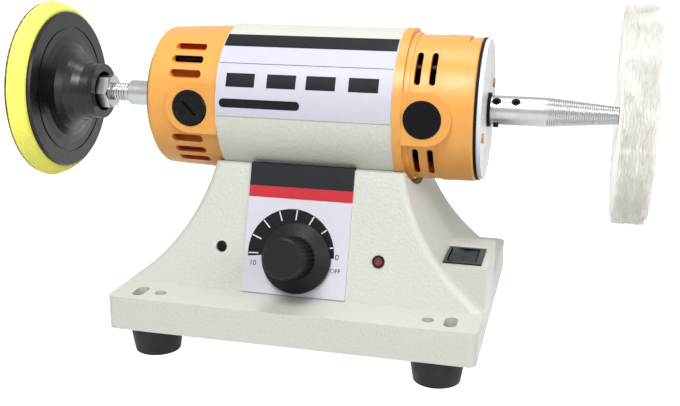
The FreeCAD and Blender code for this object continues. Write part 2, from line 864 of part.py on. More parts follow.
def base_casting():
    body = ground_body("base_casting")
    sketch = new_sketch(body, "XY_Plane", "plate", z=d.foot_height)
    rectangle(sketch, -base_end, base_end, -d.base_depth / 2, d.base_depth / 2)
    pad(body, sketch, d.plate_thickness)
    pad(body, flare_sketch(body), d.pedestal_foot_depth, symmetric=True)

    # Slanted front and rear faces
    sketch = new_sketch(body, "YZ_Plane", "slants")
    above = lip_height + 10
    for side in (-1, 1):
        corners = [(side * half_foot, plate_top), (side * face_depth(above), above)]
        corners += [(side * d.base_depth, above), (side * d.base_depth, plate_top)]
        outline(sketch, corners)
    pocket(body, sketch, symmetric=True)
    round_edges(body, "flare_round", d.flare_edge_round, is_flare_edge)

    # Switch block
    sketch = new_sketch(body, "XY_Plane", "block", z=plate_top)
    rectangle(sketch, block_inner_end, base_end, -d.block_front, d.block_rear)
    pad(body, sketch, d.block_height)
    round_edges(body, "corner_round", d.corner_radius, is_plate_corner)

    # Cradle for the barrel, with relief for the collar of the right cap
    sketch = new_sketch(body, "YZ_Plane", "cradle")
    circle(sketch, 0, axis_height, cradle_radius)
    pocket(body, sketch, symmetric=True)
    sketch = new_sketch(body, "YZ_Plane", "relief", z=d.barrel_right - d.relief_clearance)
    circle(sketch, 0, axis_height, collar_radius + d.relief_clearance)
    pocket(body, sketch, d.base_length, backwards=True)
    cut_inside(body)
    cut_holes(body)
    return body


def is_flare_edge(edge):
    """The edges where the flared sides meet the slanted faces."""
    spot = middle_of(edge)
    on_face = near(abs(spot.y), face_depth(size(spot.z)), 0.05)
    between = plate_top.value + 1 < spot.z < lip_height.value - 1
    return on_face and between and abs(spot.x) > d.pedestal_lip_length.value / 2


def is_plate_corner(edge):
    spot = middle_of(edge)
    return near(abs(spot.x), base_end) and near(abs(spot.y), d.base_depth / 2) and spot.z < plate_top.value


def cut_inside(body):
    """Hollow the casting from below, and leave bosses for the cover screws."""
    sketch = new_sketch(body, "XY_Plane", "cover_seat", z=d.foot_height)
    outline(sketch, cross_corners(0))
    pocket(body, sketch, d.cover_gap + d.cover_thickness, backwards=True)
    sketch = new_sketch(body, "XY_Plane", "plate_cavity", z=cover_seat)
    outline(sketch, cross_corners(d.cover_ledge))
    pocket(body, sketch, plate_roof - cover_seat, backwards=True)

    # Three steps follow the flares upwards
    for number in range(1, 4):
        top = plate_top + cavity_step * number
        half_length = flare_at(top)[0] - d.casting_wall
        sketch = new_sketch(body, "YZ_Plane", "cavity_%d" % number)
        wall = d.casting_wall / lean_cosine
        low = face_depth(plate_top) - wall - d.cover_ledge
        high = face_depth(top) - wall
        middle = face_depth(plate_top) - wall
        corners = [(low, cover_seat + 1), (low, plate_roof), (middle, plate_top), (high, top)]
        outline(sketch, corners + [(-y, z) for y, z in reversed(corners)])
        pocket(body, sketch, half_length * 2, symmetric=True)

    # The block is hollow above the ledge that the cover seats on
    low = plate_roof - 1
    sketch = new_sketch(body, "XY_Plane", "block_cavity", z=low)
    wall = d.block_wall
    rectangle(sketch, block_inner_end + wall, base_end - wall, -d.block_front + wall, d.block_rear - wall)
    pocket(body, sketch, block_top - d.block_roof - low, backwards=True)

    sketch = new_sketch(body, "XY_Plane", "cover_bosses", z=cover_seat)
    for x, y in cover_screw_places():
        circle(sketch, x, y, d.cover_boss_radius)
    pad(body, sketch, plate_roof - cover_seat + 1)
    sketch = new_sketch(body, "XY_Plane", "cover_pilots", z=cover_seat)
    for x, y in cover_screw_places():
        circle(sketch, x, y, d.cover_screw_radius + d.fit)
    pocket(body, sketch, d.pilot_depth, backwards=True)


def cover_screw_places():
    row = d.base_depth / 2 - d.casting_wall - d.cover_ledge - d.cover_boss_radius + d.boss_overlap
    return [(side * cover_boss_x, edge * row) for side in (-1, 1) for edge in (-1, 1)]


def panel_sketch(body, name, x, rise, out=0):
    """A sketch on the slanted front face of a piece drawn in the frame of the base."""
    return new_sketch(
        body,
        "XY_Plane",
        name,
        x=x,
        y=-half_foot + rise * lean_sine - out * lean_cosine,
        z=plate_top + rise * lean_cosine + out * lean_sine,
        axis=X_AXIS,
        angle=face_angle,
    )


def cut_holes(body):
    """Bench slots, small holes, screw holes and openings for what the casting carries."""
    sketch = new_sketch(body, "XY_Plane", "bench_slots", z=plate_top)
    reach = d.slot_length / 2
    for side in (-1, 1):
        for edge in (-1, 1):
            upright_slot(sketch, side * slot_x, edge * hole_row_y - reach, edge * hole_row_y + reach,
                         d.slot_width / 2)
            circle(sketch, side * small_hole_x, edge * hole_row_y, d.small_hole_radius)
    pocket(body, sketch)

    sketch = new_sketch(body, "XY_Plane", "foot_holes", z=d.foot_height)
    for x, y in foot_places().values():
        circle(sketch, x, y, d.foot_screw_radius + d.fit)
    pocket(body, sketch, d.foot_screw_reach + 1, backwards=True)

    sketch = new_sketch(body, "XY_Plane", "switch_opening", z=block_top)
    half_x = d.switch_body_length / 2 + d.cover_gap
    half_y = d.switch_body_width / 2 + d.cover_gap
    rectangle(sketch, switch_x - half_x, switch_x + half_x, switch_y - half_y, switch_y + half_y)
    pocket(body, sketch, d.block_roof + 1)

    through_wall = d.casting_wall + 2
    sketch = panel_sketch(body, "stem_hole", d.knob_x, d.knob_rise)
    circle(sketch, 0, 0, d.pot_bush_radius + d.cover_gap)
    pocket(body, sketch, through_wall)
    sketch = panel_sketch(body, "lamp_hole", d.lamp_x, d.lamp_rise)
    circle(sketch, 0, 0, d.lamp_lens_radius + 0.8)
    pocket(body, sketch, through_wall)
    sketch = panel_sketch(body, "screw_recess", d.front_screw_x, d.front_screw_rise)
    circle(sketch, 0, 0, d.front_screw_recess_radius)
    pocket(body, sketch, d.front_screw_recess_depth)
    sketch = panel_sketch(body, "screw_hole", d.front_screw_x, d.front_screw_rise)
    circle(sketch, 0, 0, d.front_screw_radius + d.screw_play)
    pocket(body, sketch, through_wall)

    # The rear face leans the other way, so the sketch turns the other way about X
    sketch = new_sketch(body, "XY_Plane", "gland_hole", **gland_place())
    circle(sketch, 0, 0, d.gland_thread_radius + d.fit)
    pocket(body, sketch, through_wall + 2)

    sketch = new_sketch(body, "XY_Plane", "motor_bolt_holes", z=cavity_top - 1)
    for side in (-1, 1):
        circle(sketch, side * d.motor_bolt_x, 0, d.motor_bolt_radius + 0.2)
    pocket(body, sketch, d.cavity_headroom + 5, backwards=True)


def gland_place():
    """Where the gland stands on the rear face: its nut clears the end of the hollow's second step."""
    hollow_end = flare_at(plate_top + cavity_step * 2)[0] - d.casting_wall
    return {
        "x": hollow_end - d.gland_inset,
        "y": half_foot - d.gland_rise * lean_sine,
        "z": plate_top + d.gland_rise * lean_cosine,
        "axis": X_BACKWARDS,
        "angle": face_angle,
    }


def foot_places():
    return {
        "foot_front_left": (-foot_x, -foot_y),
        "foot_front_right": (foot_x, -foot_y),
        "foot_rear_left": (-foot_x, foot_y),
        "foot_rear_right": (foot_x, foot_y),
    }


def rubber_foot(label, x, y):
    """A tapered rubber foot with a recess for its screw and washer."""
    body = new_body(label, x=x, y=y)
    bore = d.foot_screw_radius + d.screw_play
    web = d.foot_height - d.foot_web
    corners = [(d.foot_recess_radius, 0), (d.foot_base_radius, 0), (d.foot_top_radius, d.foot_height)]
    corners += [(bore, d.foot_height), (bore, web), (d.foot_recess_radius, web)]
    turned(body, "section", corners, upright=True)
    return body


def foot_screws():
    """Four pan-head screws with washers, up through the feet into the plate."""
    members = []
    web = d.foot_height - d.foot_web
    for label, (x, y) in foot_places().items():
        body = new_body(label + "_screw", x=x, y=y, z=web, axis=X_AXIS, angle=180)
        tip = -(d.foot_web + d.foot_screw_reach)
        washer_radius = d.foot_recess_radius - 0.6
        head_radius = d.foot_screw_radius * 2 + 0.2
        top = d.washer_thickness + d.foot_screw_head
        corners = [(0, tip), (d.foot_screw_radius, tip), (d.foot_screw_radius, 0), (washer_radius, 0)]
        corners += [(washer_radius, d.washer_thickness), (head_radius, d.washer_thickness)]
        turned(body, "bolt", corners + [(head_radius, top), (0, top)], upright=True)
        driver_slot(body, "slot", top, head_radius * 3, d.driver_slot_width, d.driver_slot_depth)
        members.append(body)
    return group("foot_screws", members)


def bottom_cover():
    body = ground_body("bottom_cover")
    sketch = new_sketch(body, "XY_Plane", "sheet", z=d.foot_height + d.cover_gap)
    outline(sketch, cross_corners(d.cover_gap))
    pad(body, sketch, d.cover_thickness)
    sketch = new_sketch(body, "XY_Plane", "holes", z=cover_seat)
    for x, y in cover_screw_places():
        circle(sketch, x, y, d.cover_screw_radius + d.screw_play)
    pocket(body, sketch)
    return body


def cover_screws():
    members = []
    for number, (x, y) in enumerate(cover_screw_places(), 1):
        body = new_body("cover_screw_%d" % number, x=x, y=y, z=d.foot_height + d.cover_gap,
                        axis=X_AXIS, angle=180)
        shank = d.cover_screw_radius
        slotted_bolt(body, shank * 1.9, shank, shank, d.cover_screw_length)
        members.append(body)
    return group("cover_screws", members)


def rubber_feet():
    return [rubber_foot(label, x, y) for label, (x, y) in foot_places().items()]


# Motor housing


def motor_barrel():
    body = axis_body("motor_barrel")
    corners = [(-d.barrel_left, barrel_bore), (d.barrel_right, barrel_bore)]
    corners.append((d.barrel_right, d.barrel_radius))
    turned(body, "section", corners + [(-d.barrel_left, d.barrel_radius)])
    sketch = new_sketch(body, "XY_Plane", "bolt_holes", z=-barrel_bore + 2)
    for side in (-1, 1):
        circle(sketch, side * d.motor_bolt_x, 0, d.motor_bolt_radius + 0.15)
    pocket(body, sketch, d.barrel_wall + 4)
    return body


def rating_plate():
    """A thin plate bent round the front of the barrel."""
    body = axis_body("rating_plate")
    sketch = new_sketch(body, "YZ_Plane", "section", z=-d.barrel_left + d.rating_margin)
    inner = d.barrel_radius + d.fit
    sector(sketch, inner, inner + d.rating_thickness, 180 - d.rating_high_angle, 180 - d.rating_low_angle)
    pad(body, sketch, d.barrel_left + d.barrel_right - d.rating_margin * 2)
    return body


def cap_shell(body, side, junction, end, seat_radius, end_radius):
    """The outside of an end cap as a solid, open to nothing yet. Side is -1 at the left, 1 at the right."""
    spigot = junction - d.spigot_length
    corners = [(side * spigot, 0), (side * end, 0), (side * end, end_radius), (side * junction, seat_radius)]
    corners += [(side * junction, barrel_bore - d.fit), (side * spigot, barrel_bore - d.fit)]
    turned(body, "outside", corners)
    round_edges(body, "end_round", d.cap_edge_round if side < 0 else d.edge_round,
                lambda edge: is_end_edge(edge, side * end, end_radius))


def is_end_edge(edge, x, radius):
    curve = edge.Curve
    return hasattr(curve, "Radius") and near(curve.Radius, radius) and near(curve.Center.x, x)


def hollow_cap(body, side, junction, end, seat_radius, end_radius):
    """The hollow of an end cap, round the boss that holds the bearing."""
    floor = end - d.cap_end_wall
    boss_end = floor - d.bearing_width
    boss = d.bearing_radius + d.bearing_boss_wall
    spigot = junction - d.spigot_length
    spigot_bore = barrel_bore - d.fit - d.spigot_wall
    hole = d.shaft_radius + 1.2
    corners = [(side * (spigot - 1), 0), (side * (end + 1), 0), (side * (end + 1), hole)]
    corners.append((side * floor, hole))
    corners += [(side * floor, d.bearing_radius + d.fit), (side * boss_end, d.bearing_radius + d.fit)]
    corners += [(side * boss_end, boss), (side * floor, boss), (side * floor, end_radius - d.cap_wall)]
    corners += [(side * junction, spigot_bore), (side * (spigot - 1), spigot_bore)]
    turned_cut(body, "hollow", corners)


def bolt_places():
    """The two through-bolts, one above the front and one below the rear, from the shaft axis."""
    along = bolt_circle * cosine(d.bolt_angle)
    up = bolt_circle * sine(d.bolt_angle)
    return [(-along, up), (along, -up)]


def left_end_cap():
    body = axis_body("left_end_cap")
    shape = (-1, d.barrel_left, left_cap_end, cap_seat_radius, cap_end_radius)
    cap_shell(body, *shape)
    sketch = new_sketch(body, "XZ_Plane", "brush_bosses")
    boss_outline(sketch, -1, -d.barrel_left, -brush_x, d.boss_radius)
    pad(body, sketch, boss_reach * 2, symmetric=True)
    hollow_cap(body, *shape)

    # Ventilation slots, above and below the brush bosses, front and rear
    sketch = new_sketch(body, "XZ_Plane", "vents")
    left = -(left_cap_end - d.vent_left_end)
    for row in range(3):
        angle = d.vent_low_angle + d.vent_pitch_angle * row
        height = cap_seat_radius * sine(angle)
        half = d.vent_width / 2 * (1 - row * 0.12)
        for side in (-1, 1):
            level_slot(sketch, left, left + d.vent_length, side * height, half)
    pocket(body, sketch, symmetric=True)

    # Round baffle behind the vents, inside the through-bolts
    floor = -(left_cap_end - d.cap_end_wall)
    sketch = new_sketch(body, "YZ_Plane", "baffle", z=floor - 0.5)
    circle(sketch, 0, 0, baffle_radius)
    circle(sketch, 0, 0, baffle_radius - d.baffle_wall)
    pad(body, sketch, -floor - d.barrel_left + 0.5)

    # Sleeves that carry the brush holders
    for side, name in ((1, "front"), (-1, "rear")):
        sketch = new_sketch(body, "XZ_Plane", name + "_sleeve", z=side * (holder_inner_end + 3))
        circle(sketch, -brush_x, 0, d.holder_radius + d.fit + d.holder_sleeve_wall)
        pad(body, sketch, cap_end_radius - d.cap_wall - holder_inner_end - 2, backwards=side < 0)
    sketch = new_sketch(body, "XZ_Plane", "holder_bore")
    circle(sketch, -brush_x, 0, d.holder_radius + d.fit)
    pocket(body, sketch, symmetric=True)
    for side, name in ((1, "front"), (-1, "rear")):
        sketch = new_sketch(body, "XZ_Plane", name + "_button_seat", z=side * boss_reach)
        circle(sketch, -brush_x, 0, d.button_radius + 0.1)
        pocket(body, sketch, d.button_seat, backwards=side < 0)

    # Pillars for the through-bolts
    sketch = new_sketch(body, "YZ_Plane", "pillars", z=floor - 0.5)
    for y, z in bolt_places():
        circle(sketch, y, z, d.bolt_pillar_radius)
    pad(body, sketch, d.bolt_pillar_length + 0.5)
    sketch = new_sketch(body, "YZ_Plane", "pillar_holes", z=floor + d.bolt_pillar_length)
    for y, z in bolt_places():
        circle(sketch, y, z, d.bolt_radius + d.fit)
    pocket(body, sketch, d.bolt_pillar_length)
    return body


def right_end_cap():
    body = axis_body("right_end_cap")
    shape = (1, d.barrel_right, right_cap_end, cap_seat_radius - 0.8, cap_end_radius)
    cap_shell(body, *shape)
    collar_end = d.barrel_right + d.collar_width

    # Shallow band in which the side vents lie
    start = collar_end + d.panel_band_start
    shallow = cap_end_radius + 0.45 - d.panel_band_depth
    corners = [(start, shallow), (start + d.panel_band_width, shallow)]
    corners += [(start + d.panel_band_width, d.barrel_radius), (start, d.barrel_radius)]
    turned_cut(body, "band", corners)

    # Flat step in the top near the end
    sketch = new_sketch(body, "YZ_Plane", "top_step", z=right_cap_end - d.end_step_length)
    low = cap_end_radius - d.end_step_depth
    rectangle(sketch, -d.end_step_half_width, d.end_step_half_width, low, d.barrel_radius)
    pocket(body, sketch, d.end_step_length + 1, backwards=True)

    # Collar next to the barrel
    sketch = new_sketch(body, "YZ_Plane", "collar", z=d.barrel_right)
    circle(sketch, 0, 0, collar_radius)
    pad(body, sketch, d.collar_width)
    sketch = new_sketch(body, "XZ_Plane", "plug_bosses")
    boss_outline(sketch, 1, collar_end, plug_x + 1.3, d.boss_radius)
    pad(body, sketch, boss_reach * 2, symmetric=True)
    hollow_cap(body, *shape)
    for side, name in ((1, "front"), (-1, "rear")):
        sketch = new_sketch(body, "XZ_Plane", name + "_plug_wall",
                            z=side * (boss_reach - d.button_seat - 1.6))
        circle(sketch, plug_x, 0, d.button_radius + 1)
        pad(body, sketch, d.button_seat, backwards=side < 0)
        sketch = new_sketch(body, "XZ_Plane", name + "_plug_seat", z=side * boss_reach)
        circle(sketch, plug_x, 0, d.button_radius + 0.1)
        pocket(body, sketch, d.button_seat, backwards=side < 0)

    # Side vents, above and below the plug bosses, front and rear
    sketch = new_sketch(body, "XZ_Plane", "vents")
    low = cap_end_radius * sine(d.side_vent_low_angle)
    high = cap_end_radius * sine(d.side_vent_high_angle)
    for number in range(2):
        x = d.barrel_right + d.side_vent_first + d.side_vent_pitch * number
        upright_slot(sketch, x, low, high, d.side_vent_width / 2)
        upright_slot(sketch, x, -high, -low, d.side_vent_width / 2)
    pocket(body, sketch, symmetric=True)

    # Bolt heads and the screws of the end disc are sunk in the end wall
    sketch = new_sketch(body, "YZ_Plane", "bolt_holes", z=right_cap_end)
    for y, z in bolt_places():
        circle(sketch, y, z, d.bolt_radius + d.screw_play)
    for y, z in disc_screw_places():
        circle(sketch, y, z, d.disc_screw_radius + d.fit)
    pocket(body, sketch, d.cap_end_wall + 1)
    sketch = new_sketch(body, "YZ_Plane", "head_seats", z=right_cap_end)
    for y, z in bolt_places():
        circle(sketch, y, z, d.bolt_head_radius + d.screw_play * 2)
    pocket(body, sketch, d.bolt_head_sink)
    return body


def disc_screw_places():
    along = disc_screw_circle * cosine(d.disc_screw_angle)
    up = disc_screw_circle * sine(d.disc_screw_angle)
    return [(along, up), (-along, -up)]


def ring_plate(label, left, thickness, inner, outer, holes=()):
    """A flat ring about the shaft axis, with round holes through it."""
    body = axis_body(label)
    sketch = new_sketch(body, "YZ_Plane", "ring", z=left)
    circle(sketch, 0, 0, outer)
    circle(sketch, 0, 0, inner)
    for y, z in holes:
        circle(sketch, y, z, d.disc_screw_radius + d.screw_play)
    pad(body, sketch, thickness)
    return body


def end_plates():
    ring_plate("left_end_plate", -left_cap_end - d.left_plate_thickness, d.left_plate_thickness,
               d.shaft_radius + 4, left_plate_radius)
    ring_plate("right_end_ring", right_cap_end, d.ring_thickness, ring_bore, ring_radius,
               disc_screw_places())
    ring_plate("right_end_disc", ring_face, d.disc_thickness, d.bush_radius + d.fit, disc_radius,
               disc_screw_places())


def spindle_bush():
    """Black bush round the root of the spindle, with a rim behind the end disc."""
    body = axis_body("spindle_bush")
    rim = d.bush_radius + d.bush_rim
    corners = [(right_cap_end, d.bush_bore), (disc_face + d.bush_proud, d.bush_bore)]
    corners += [(disc_face + d.bush_proud, d.bush_radius), (ring_face - 0.1, d.bush_radius)]
    corners += [(ring_face - 0.1, rim), (right_cap_end, rim)]
    turned(body, "section", corners)
    return body


def disc_screws():
    """Two brass-coloured screws through disc and ring into the right cap."""
    members = []
    for number, (y, z) in enumerate(disc_screw_places(), 1):
        body = new_body("disc_screw_%d" % number, x=disc_face, y=y, z=axis_height + z, axis=Y_AXIS, angle=90)
        turned_bolt(body, d.disc_screw_head_radius, d.disc_screw_head_height, d.disc_screw_radius,
                    d.disc_thickness + d.ring_thickness + d.disc_screw_grip)
        driver_slot(body, "slot", d.disc_screw_head_height, d.disc_screw_head_radius * 3, d.small_slot_width,
                    d.disc_screw_head_height / 2)
        members.append(body)
    return group("disc_screws", members)


def brush_caps():
    """Slotted caps that screw in behind the brushes, each with a raised rim round a shallow dish."""
    members = []
    for side, name in ((1, "front"), (-1, "rear")):
        body = new_body("brush_cap_" + name, x=-brush_x, z=axis_height, axis=X_AXIS, angle=90 * side)
        rim = d.button_radius - 0.7
        dish = rim - d.cap_rim_width
        dish_face = button_face - d.cap_dish
        corners = [(0, shank_end), (d.button_shank_radius, shank_end), (d.button_shank_radius, button_floor)]
        corners += [(d.button_radius, button_floor), (d.button_radius, button_face - 0.7), (rim, button_face)]
        corners += [(dish, button_face), (dish - d.cap_dish, dish_face), (0, dish_face)]
        turned(body, "section", corners, upright=True)
        driver_slot(body, "slot", dish_face, dish * 1.3, d.driver_slot_width, d.driver_slot_depth,
                    d.cap_slot_turn)
        members.append(body)
    return group("brush_caps", members)


def side_plugs():
    members = []
    for side, name in ((1, "front"), (-1, "rear")):
        body = new_body("side_plug_" + name, x=plug_x, z=axis_height, axis=X_AXIS, angle=90 * side)
        rim = d.button_radius - 0.5
        corners = [(0, button_floor + d.fit), (d.button_radius, button_floor + d.fit)]
        corners += [(d.button_radius, button_face - 0.5), (rim, button_face), (0, button_face)]
        turned(body, "section", corners, upright=True)
        members.append(body)
    return group("side_plugs", members)


def brush_holders():
    """Brass guides: a square passage for the brush and a round mouth for the cap's shank."""
    members = []
    for side, name in ((1, "front"), (-1, "rear")):
        body = new_body("brush_holder_" + name, x=-brush_x, z=axis_height, axis=X_AXIS, angle=90 * side)
        sketch = new_sketch(body, "XY_Plane", "tube", z=holder_inner_end)
        circle(sketch, 0, 0, d.holder_radius)
        pad(body, sketch, button_floor - d.fit - holder_inner_end)
        sketch = new_sketch(body, "XY_Plane", "mouth", z=button_floor)
        circle(sketch, 0, 0, d.button_shank_radius + d.fit)
        pocket(body, sketch, button_floor - brush_back)
        sketch = new_sketch(body, "XY_Plane", "passage", z=brush_back + 1)
        half_x = d.brush_width / 2 + 0.1
        half_y = d.brush_height / 2 + 0.1
        rectangle(sketch, -half_x, half_x, -half_y, half_y)
        pocket(body, sketch)
        members.append(body)
    return group("brush_holders", members)


def carbon_brushes():
    for side, name in ((1, "front"), (-1, "rear")):
        body = new_body("carbon_brush_" + name, x=-brush_x, z=axis_height, axis=X_AXIS, angle=90 * side)
        sketch = new_sketch(body, "XY_Plane", "block", z=brush_front)
        rectangle(sketch, -d.brush_width / 2, d.brush_width / 2, -d.brush_height / 2, d.brush_height / 2)
        pad(body, sketch, brush_length)
        spring = new_body("brush_spring_" + name, x=-brush_x, z=axis_height, axis=X_AXIS, angle=90 * side)
        sketch = new_sketch(spring, "XY_Plane", "sleeve", z=brush_back + d.fit)
        circle(sketch, 0, 0, d.spring_radius)
        circle(sketch, 0, 0, d.spring_radius - d.spring_wall)
        pad(spring, sketch, shank_end - brush_back - d.fit * 2)


def stator_core():
    body = axis_body("stator_core")
    sketch = new_sketch(body, "YZ_Plane", "yoke")
    circle(sketch, 0, 0, barrel_bore - d.fit)
    circle(sketch, 0, 0, stator_inner_radius)
    pad(body, sketch, d.stack_length, symmetric=True)
    shoe = pole_bore_radius + d.pole_shoe_thickness
    for side, name in ((1, "upper"), (-1, "lower")):
        sketch = new_sketch(body, "YZ_Plane", name + "_pole")
        rectangle(sketch, -d.pole_width / 2, d.pole_width / 2, side * (shoe - 1),
                  side * (stator_inner_radius + 1))
        pad(body, sketch, d.stack_length, symmetric=True)
        sketch = new_sketch(body, "YZ_Plane", name + "_shoe")
        sector(sketch, pole_bore_radius, shoe, 90 * side - d.pole_angle, 90 * side + d.pole_angle)
        pad(body, sketch, d.stack_length, symmetric=True)
    sketch = new_sketch(body, "YZ_Plane", "bolt_holes")
    for y, z in bolt_places():
        circle(sketch, y, z, d.bolt_radius + d.screw_play)
    pocket(body, sketch, symmetric=True)
    return body


def field_coils():
    """Two coils round the poles, with their end turns past the core."""
    members = []
    inner = pole_bore_radius + d.pole_shoe_thickness + d.coil_gap
    outer = stator_inner_radius - d.coil_gap
    for side, name in ((1, "upper"), (-1, "lower")):
        body = axis_body("field_coil_" + name)
        sketch = new_sketch(body, "YZ_Plane", "ring")
        sector(sketch, inner, outer, 90 * side - d.coil_angle, 90 * side + d.coil_angle)
        pad(body, sketch, d.stack_length + d.coil_overhang * 2, symmetric=True)
        sketch = new_sketch(body, "XY_Plane", "window")
        half_x = d.stack_length / 2 + d.coil_gap
        half_y = d.pole_width / 2 + d.coil_gap
        rectangle(sketch, -half_x, half_x, -half_y, half_y)
        pocket(body, sketch, symmetric=True)
        members.append(body)
    return group("field_coils", members)


def through_bolts():
    """Two long bolts that draw both end caps onto the barrel."""
    members = []
    head_seat = right_cap_end - d.bolt_head_sink
    tip = left_cap_end - d.cap_end_wall - 1
    for number, (y, z) in enumerate(bolt_places(), 1):
        body = new_body("through_bolt_%d" % number, x=head_seat, y=y, z=axis_height + z,
                        axis=Y_AXIS, angle=90)
        slotted_bolt(body, d.bolt_head_radius, d.bolt_head_height, d.bolt_radius, head_seat + tip)
        members.append(body)
    return group("through_bolts", members)


def motor_bolts():
    """Two bolts up through the cradle, with nuts inside the barrel."""
    members = []
    nut_low = axis_height - barrel_bore + 0.45
    for side, name in ((-1, "left"), (1, "right")):
        body = new_body("motor_bolt_" + name, x=side * d.motor_bolt_x, z=cavity_top, axis=X_AXIS, angle=180)
        reach = nut_low + d.motor_nut_height + 0.6 - cavity_top
        turned_bolt(body, d.motor_bolt_head_radius, d.motor_bolt_head_height, d.motor_bolt_radius, reach)
        nut = new_body("motor_nut_" + name, x=side * d.motor_bolt_x, z=nut_low)
        sketch = new_sketch(nut, "XY_Plane", "flats")
        hexagon(sketch, d.motor_nut_width)
        circle(sketch, 0, 0, d.motor_bolt_radius + d.fit)
        pad(nut, sketch, d.motor_nut_height)
        members += [body, nut]
    return group("motor_bolts", members)


# Rotor


def armature_shaft():
    body = axis_body("armature_shaft")
    left = -(left_bearing - 0.5)
    right = right_bearing - 0.5
    corners = [(-shaft_left_end, 0), (-shaft_left_end, d.shaft_radius), (left, d.shaft_radius)]
    corners += [(left, shaft_core_radius), (right, shaft_core_radius), (right, d.shaft_radius)]
    corners += [(shaft_right_end, d.shaft_radius), (shaft_right_end, 0)]
    turned(body, "section", corners)
    return body


def armature_core():
    body = axis_body("armature_core")
    sketch = new_sketch(body, "YZ_Plane", "lamination")
    circle(sketch, 0, 0, armature_radius)
    circle(sketch, 0, 0, shaft_core_radius + d.fit)
    pad(body, sketch, d.stack_length, symmetric=True)
    sketch = new_sketch(body, "YZ_Plane", "slot")
    half = d.armature_slot_width / 2
    rectangle(sketch, -half, half, armature_radius - d.armature_slot_depth, armature_radius + 1)
    feature = pocket(body, sketch, symmetric=True)
    repeat_round(body, feature, sketch, "N_Axis", d.armature_slots)
    return body


def winding_heads():
    """The copper heads at both ends of the armature core."""
    members = []
    bore = shaft_core_radius + d.fit
    for side, name in ((-1, "left"), (1, "right")):
        body = axis_body("winding_head_" + name)
        start = d.stack_length / 2 + d.fit
        end = start + d.winding_length
        corners = [(side * start, bore), (side * end, bore), (side * end, winding_radius - 8)]
        corners += [(side * (end - 3), winding_radius - 2), (side * (end - 6), winding_radius)]
        turned(body, "section", corners + [(side * start, winding_radius)])
        members.append(body)
    return group("winding_heads", members)


def commutator():
    body = axis_body("commutator")
    bore = shaft_core_radius + d.fit
    left = -brush_x - d.commutator_length / 2
    right = -brush_x + d.commutator_length / 2
    corners = [(left, bore), (right + 2, bore), (right + 2, d.commutator_radius + 1.6)]
    corners += [(right, d.commutator_radius + 1.6), (right, d.commutator_radius), (left, d.commutator_radius)]
    turned(body, "section", corners)
    sketch = new_sketch(body, "YZ_Plane", "gap", z=left - 1)
    rectangle(sketch, size(-0.25), size(0.25), d.commutator_radius - 0.9, d.commutator_radius + 2)
    feature = pocket(body, sketch, d.commutator_length + 5, backwards=True)
    repeat_round(body, feature, sketch, "N_Axis", d.commutator_bars)
    return body


def cooling_fan():
    body = axis_body("cooling_fan")
    bore = shaft_core_radius + d.fit
    start = fan_start
    end = start + d.fan_length
    corners = [(start, bore), (end, bore), (end, d.fan_hub_radius), (start + d.fan_plate, d.fan_hub_radius)]
    turned(body, "section", corners + [(start + d.fan_plate, fan_radius), (start, fan_radius)])
    sketch = new_sketch(body, "YZ_Plane", "blade", z=start + d.fan_plate - 0.5)
    half = d.fan_blade_thickness / 2
    rectangle(sketch, -half, half, d.fan_hub_radius - 1, fan_radius - 1)
    feature = pad(body, sketch, d.fan_length - d.fan_plate + 0.5)
    repeat_round(body, feature, sketch, "N_Axis", d.fan_blades)
    return body


def bearing_rings():
    """Two shielded ball bearings, each as its outer ring with shields and its inner ring."""
    outers = []
    inners = []
    raceway = d.bearing_radius - d.bearing_race
    inner_top = d.shaft_radius + d.bearing_race
    shield_bore = inner_top + 0.2
    for side, name, start in ((-1, "left", left_bearing), (1, "right", right_bearing)):
        end = start + d.bearing_width
        outer = axis_body("bearing_outer_" + name)
        corners = [(side * start, shield_bore), (side * (start + d.bearing_shield), shield_bore)]
        corners += [(side * (start + d.bearing_shield), raceway), (side * (end - d.bearing_shield), raceway)]
        corners += [(side * (end - d.bearing_shield), shield_bore), (side * end, shield_bore)]
        corners += [(side * end, d.bearing_radius), (side * start, d.bearing_radius)]
        turned(outer, "section", corners)
        inner = axis_body("bearing_inner_" + name)
        bore = d.shaft_radius + d.fit
        corners = [(side * start, bore), (side * end, bore), (side * end, inner_top)]
        corners.append((side * start, inner_top))
        turned(inner, "section", corners)
        outers.append(outer)
        inners.append(inner)
    group("bearing_outer_rings", outers)
    group("bearing_inner_rings", inners)


def shaft_sleeve():
    """Steel sleeve that joins the motor shaft and the threaded stud."""
    body = axis_body("shaft_sleeve")
    split = shaft_left_end + 0.3
    # A run-out groove parts the plain bore from the threaded one
    groove_end = split + d.run_out_length
    plain_bore = d.shaft_radius + d.fit
    threaded_bore = d.stud_radius + d.fit
    groove = threaded_bore + d.run_out_depth
    corners = [(-sleeve_start, plain_bore), (-split, plain_bore), (-split, groove), (-groove_end, groove)]
    corners += [(-groove_end, threaded_bore), (-sleeve_end, threaded_bore)]
    corners += [(-sleeve_end, d.sleeve_radius - 0.6), (-(sleeve_end - 0.6), d.sleeve_radius)]
    turned(body, "section", corners + [(-sleeve_start, d.sleeve_radius)])
    sketch = new_sketch(body, "XY_Plane", "screw_hole", axis=X_AXIS, angle=d.set_screw_angle)
    circle(sketch, -(sleeve_start + d.sleeve_screw_inset), 0, d.lock_screw_radius + d.fit)
    pocket(body, sketch, d.sleeve_radius + 1, backwards=True)
    return body


def radial_screw(label, x, angle, radius, low, high):
    """A headless screw that points at the shaft axis, with a socket in its outer end."""
    body = new_body(label, x=x, z=axis_height, axis=X_AXIS, angle=angle)
    sketch = new_sketch(body, "XY_Plane", "rod", z=low)
    circle(sketch, 0, 0, radius)
    pad(body, sketch, high - low)
    sketch = new_sketch(body, "XY_Plane", "socket", z=high)
    hexagon(sketch, radius * 1.05)
    pocket(body, sketch, size(1.2))
    return body


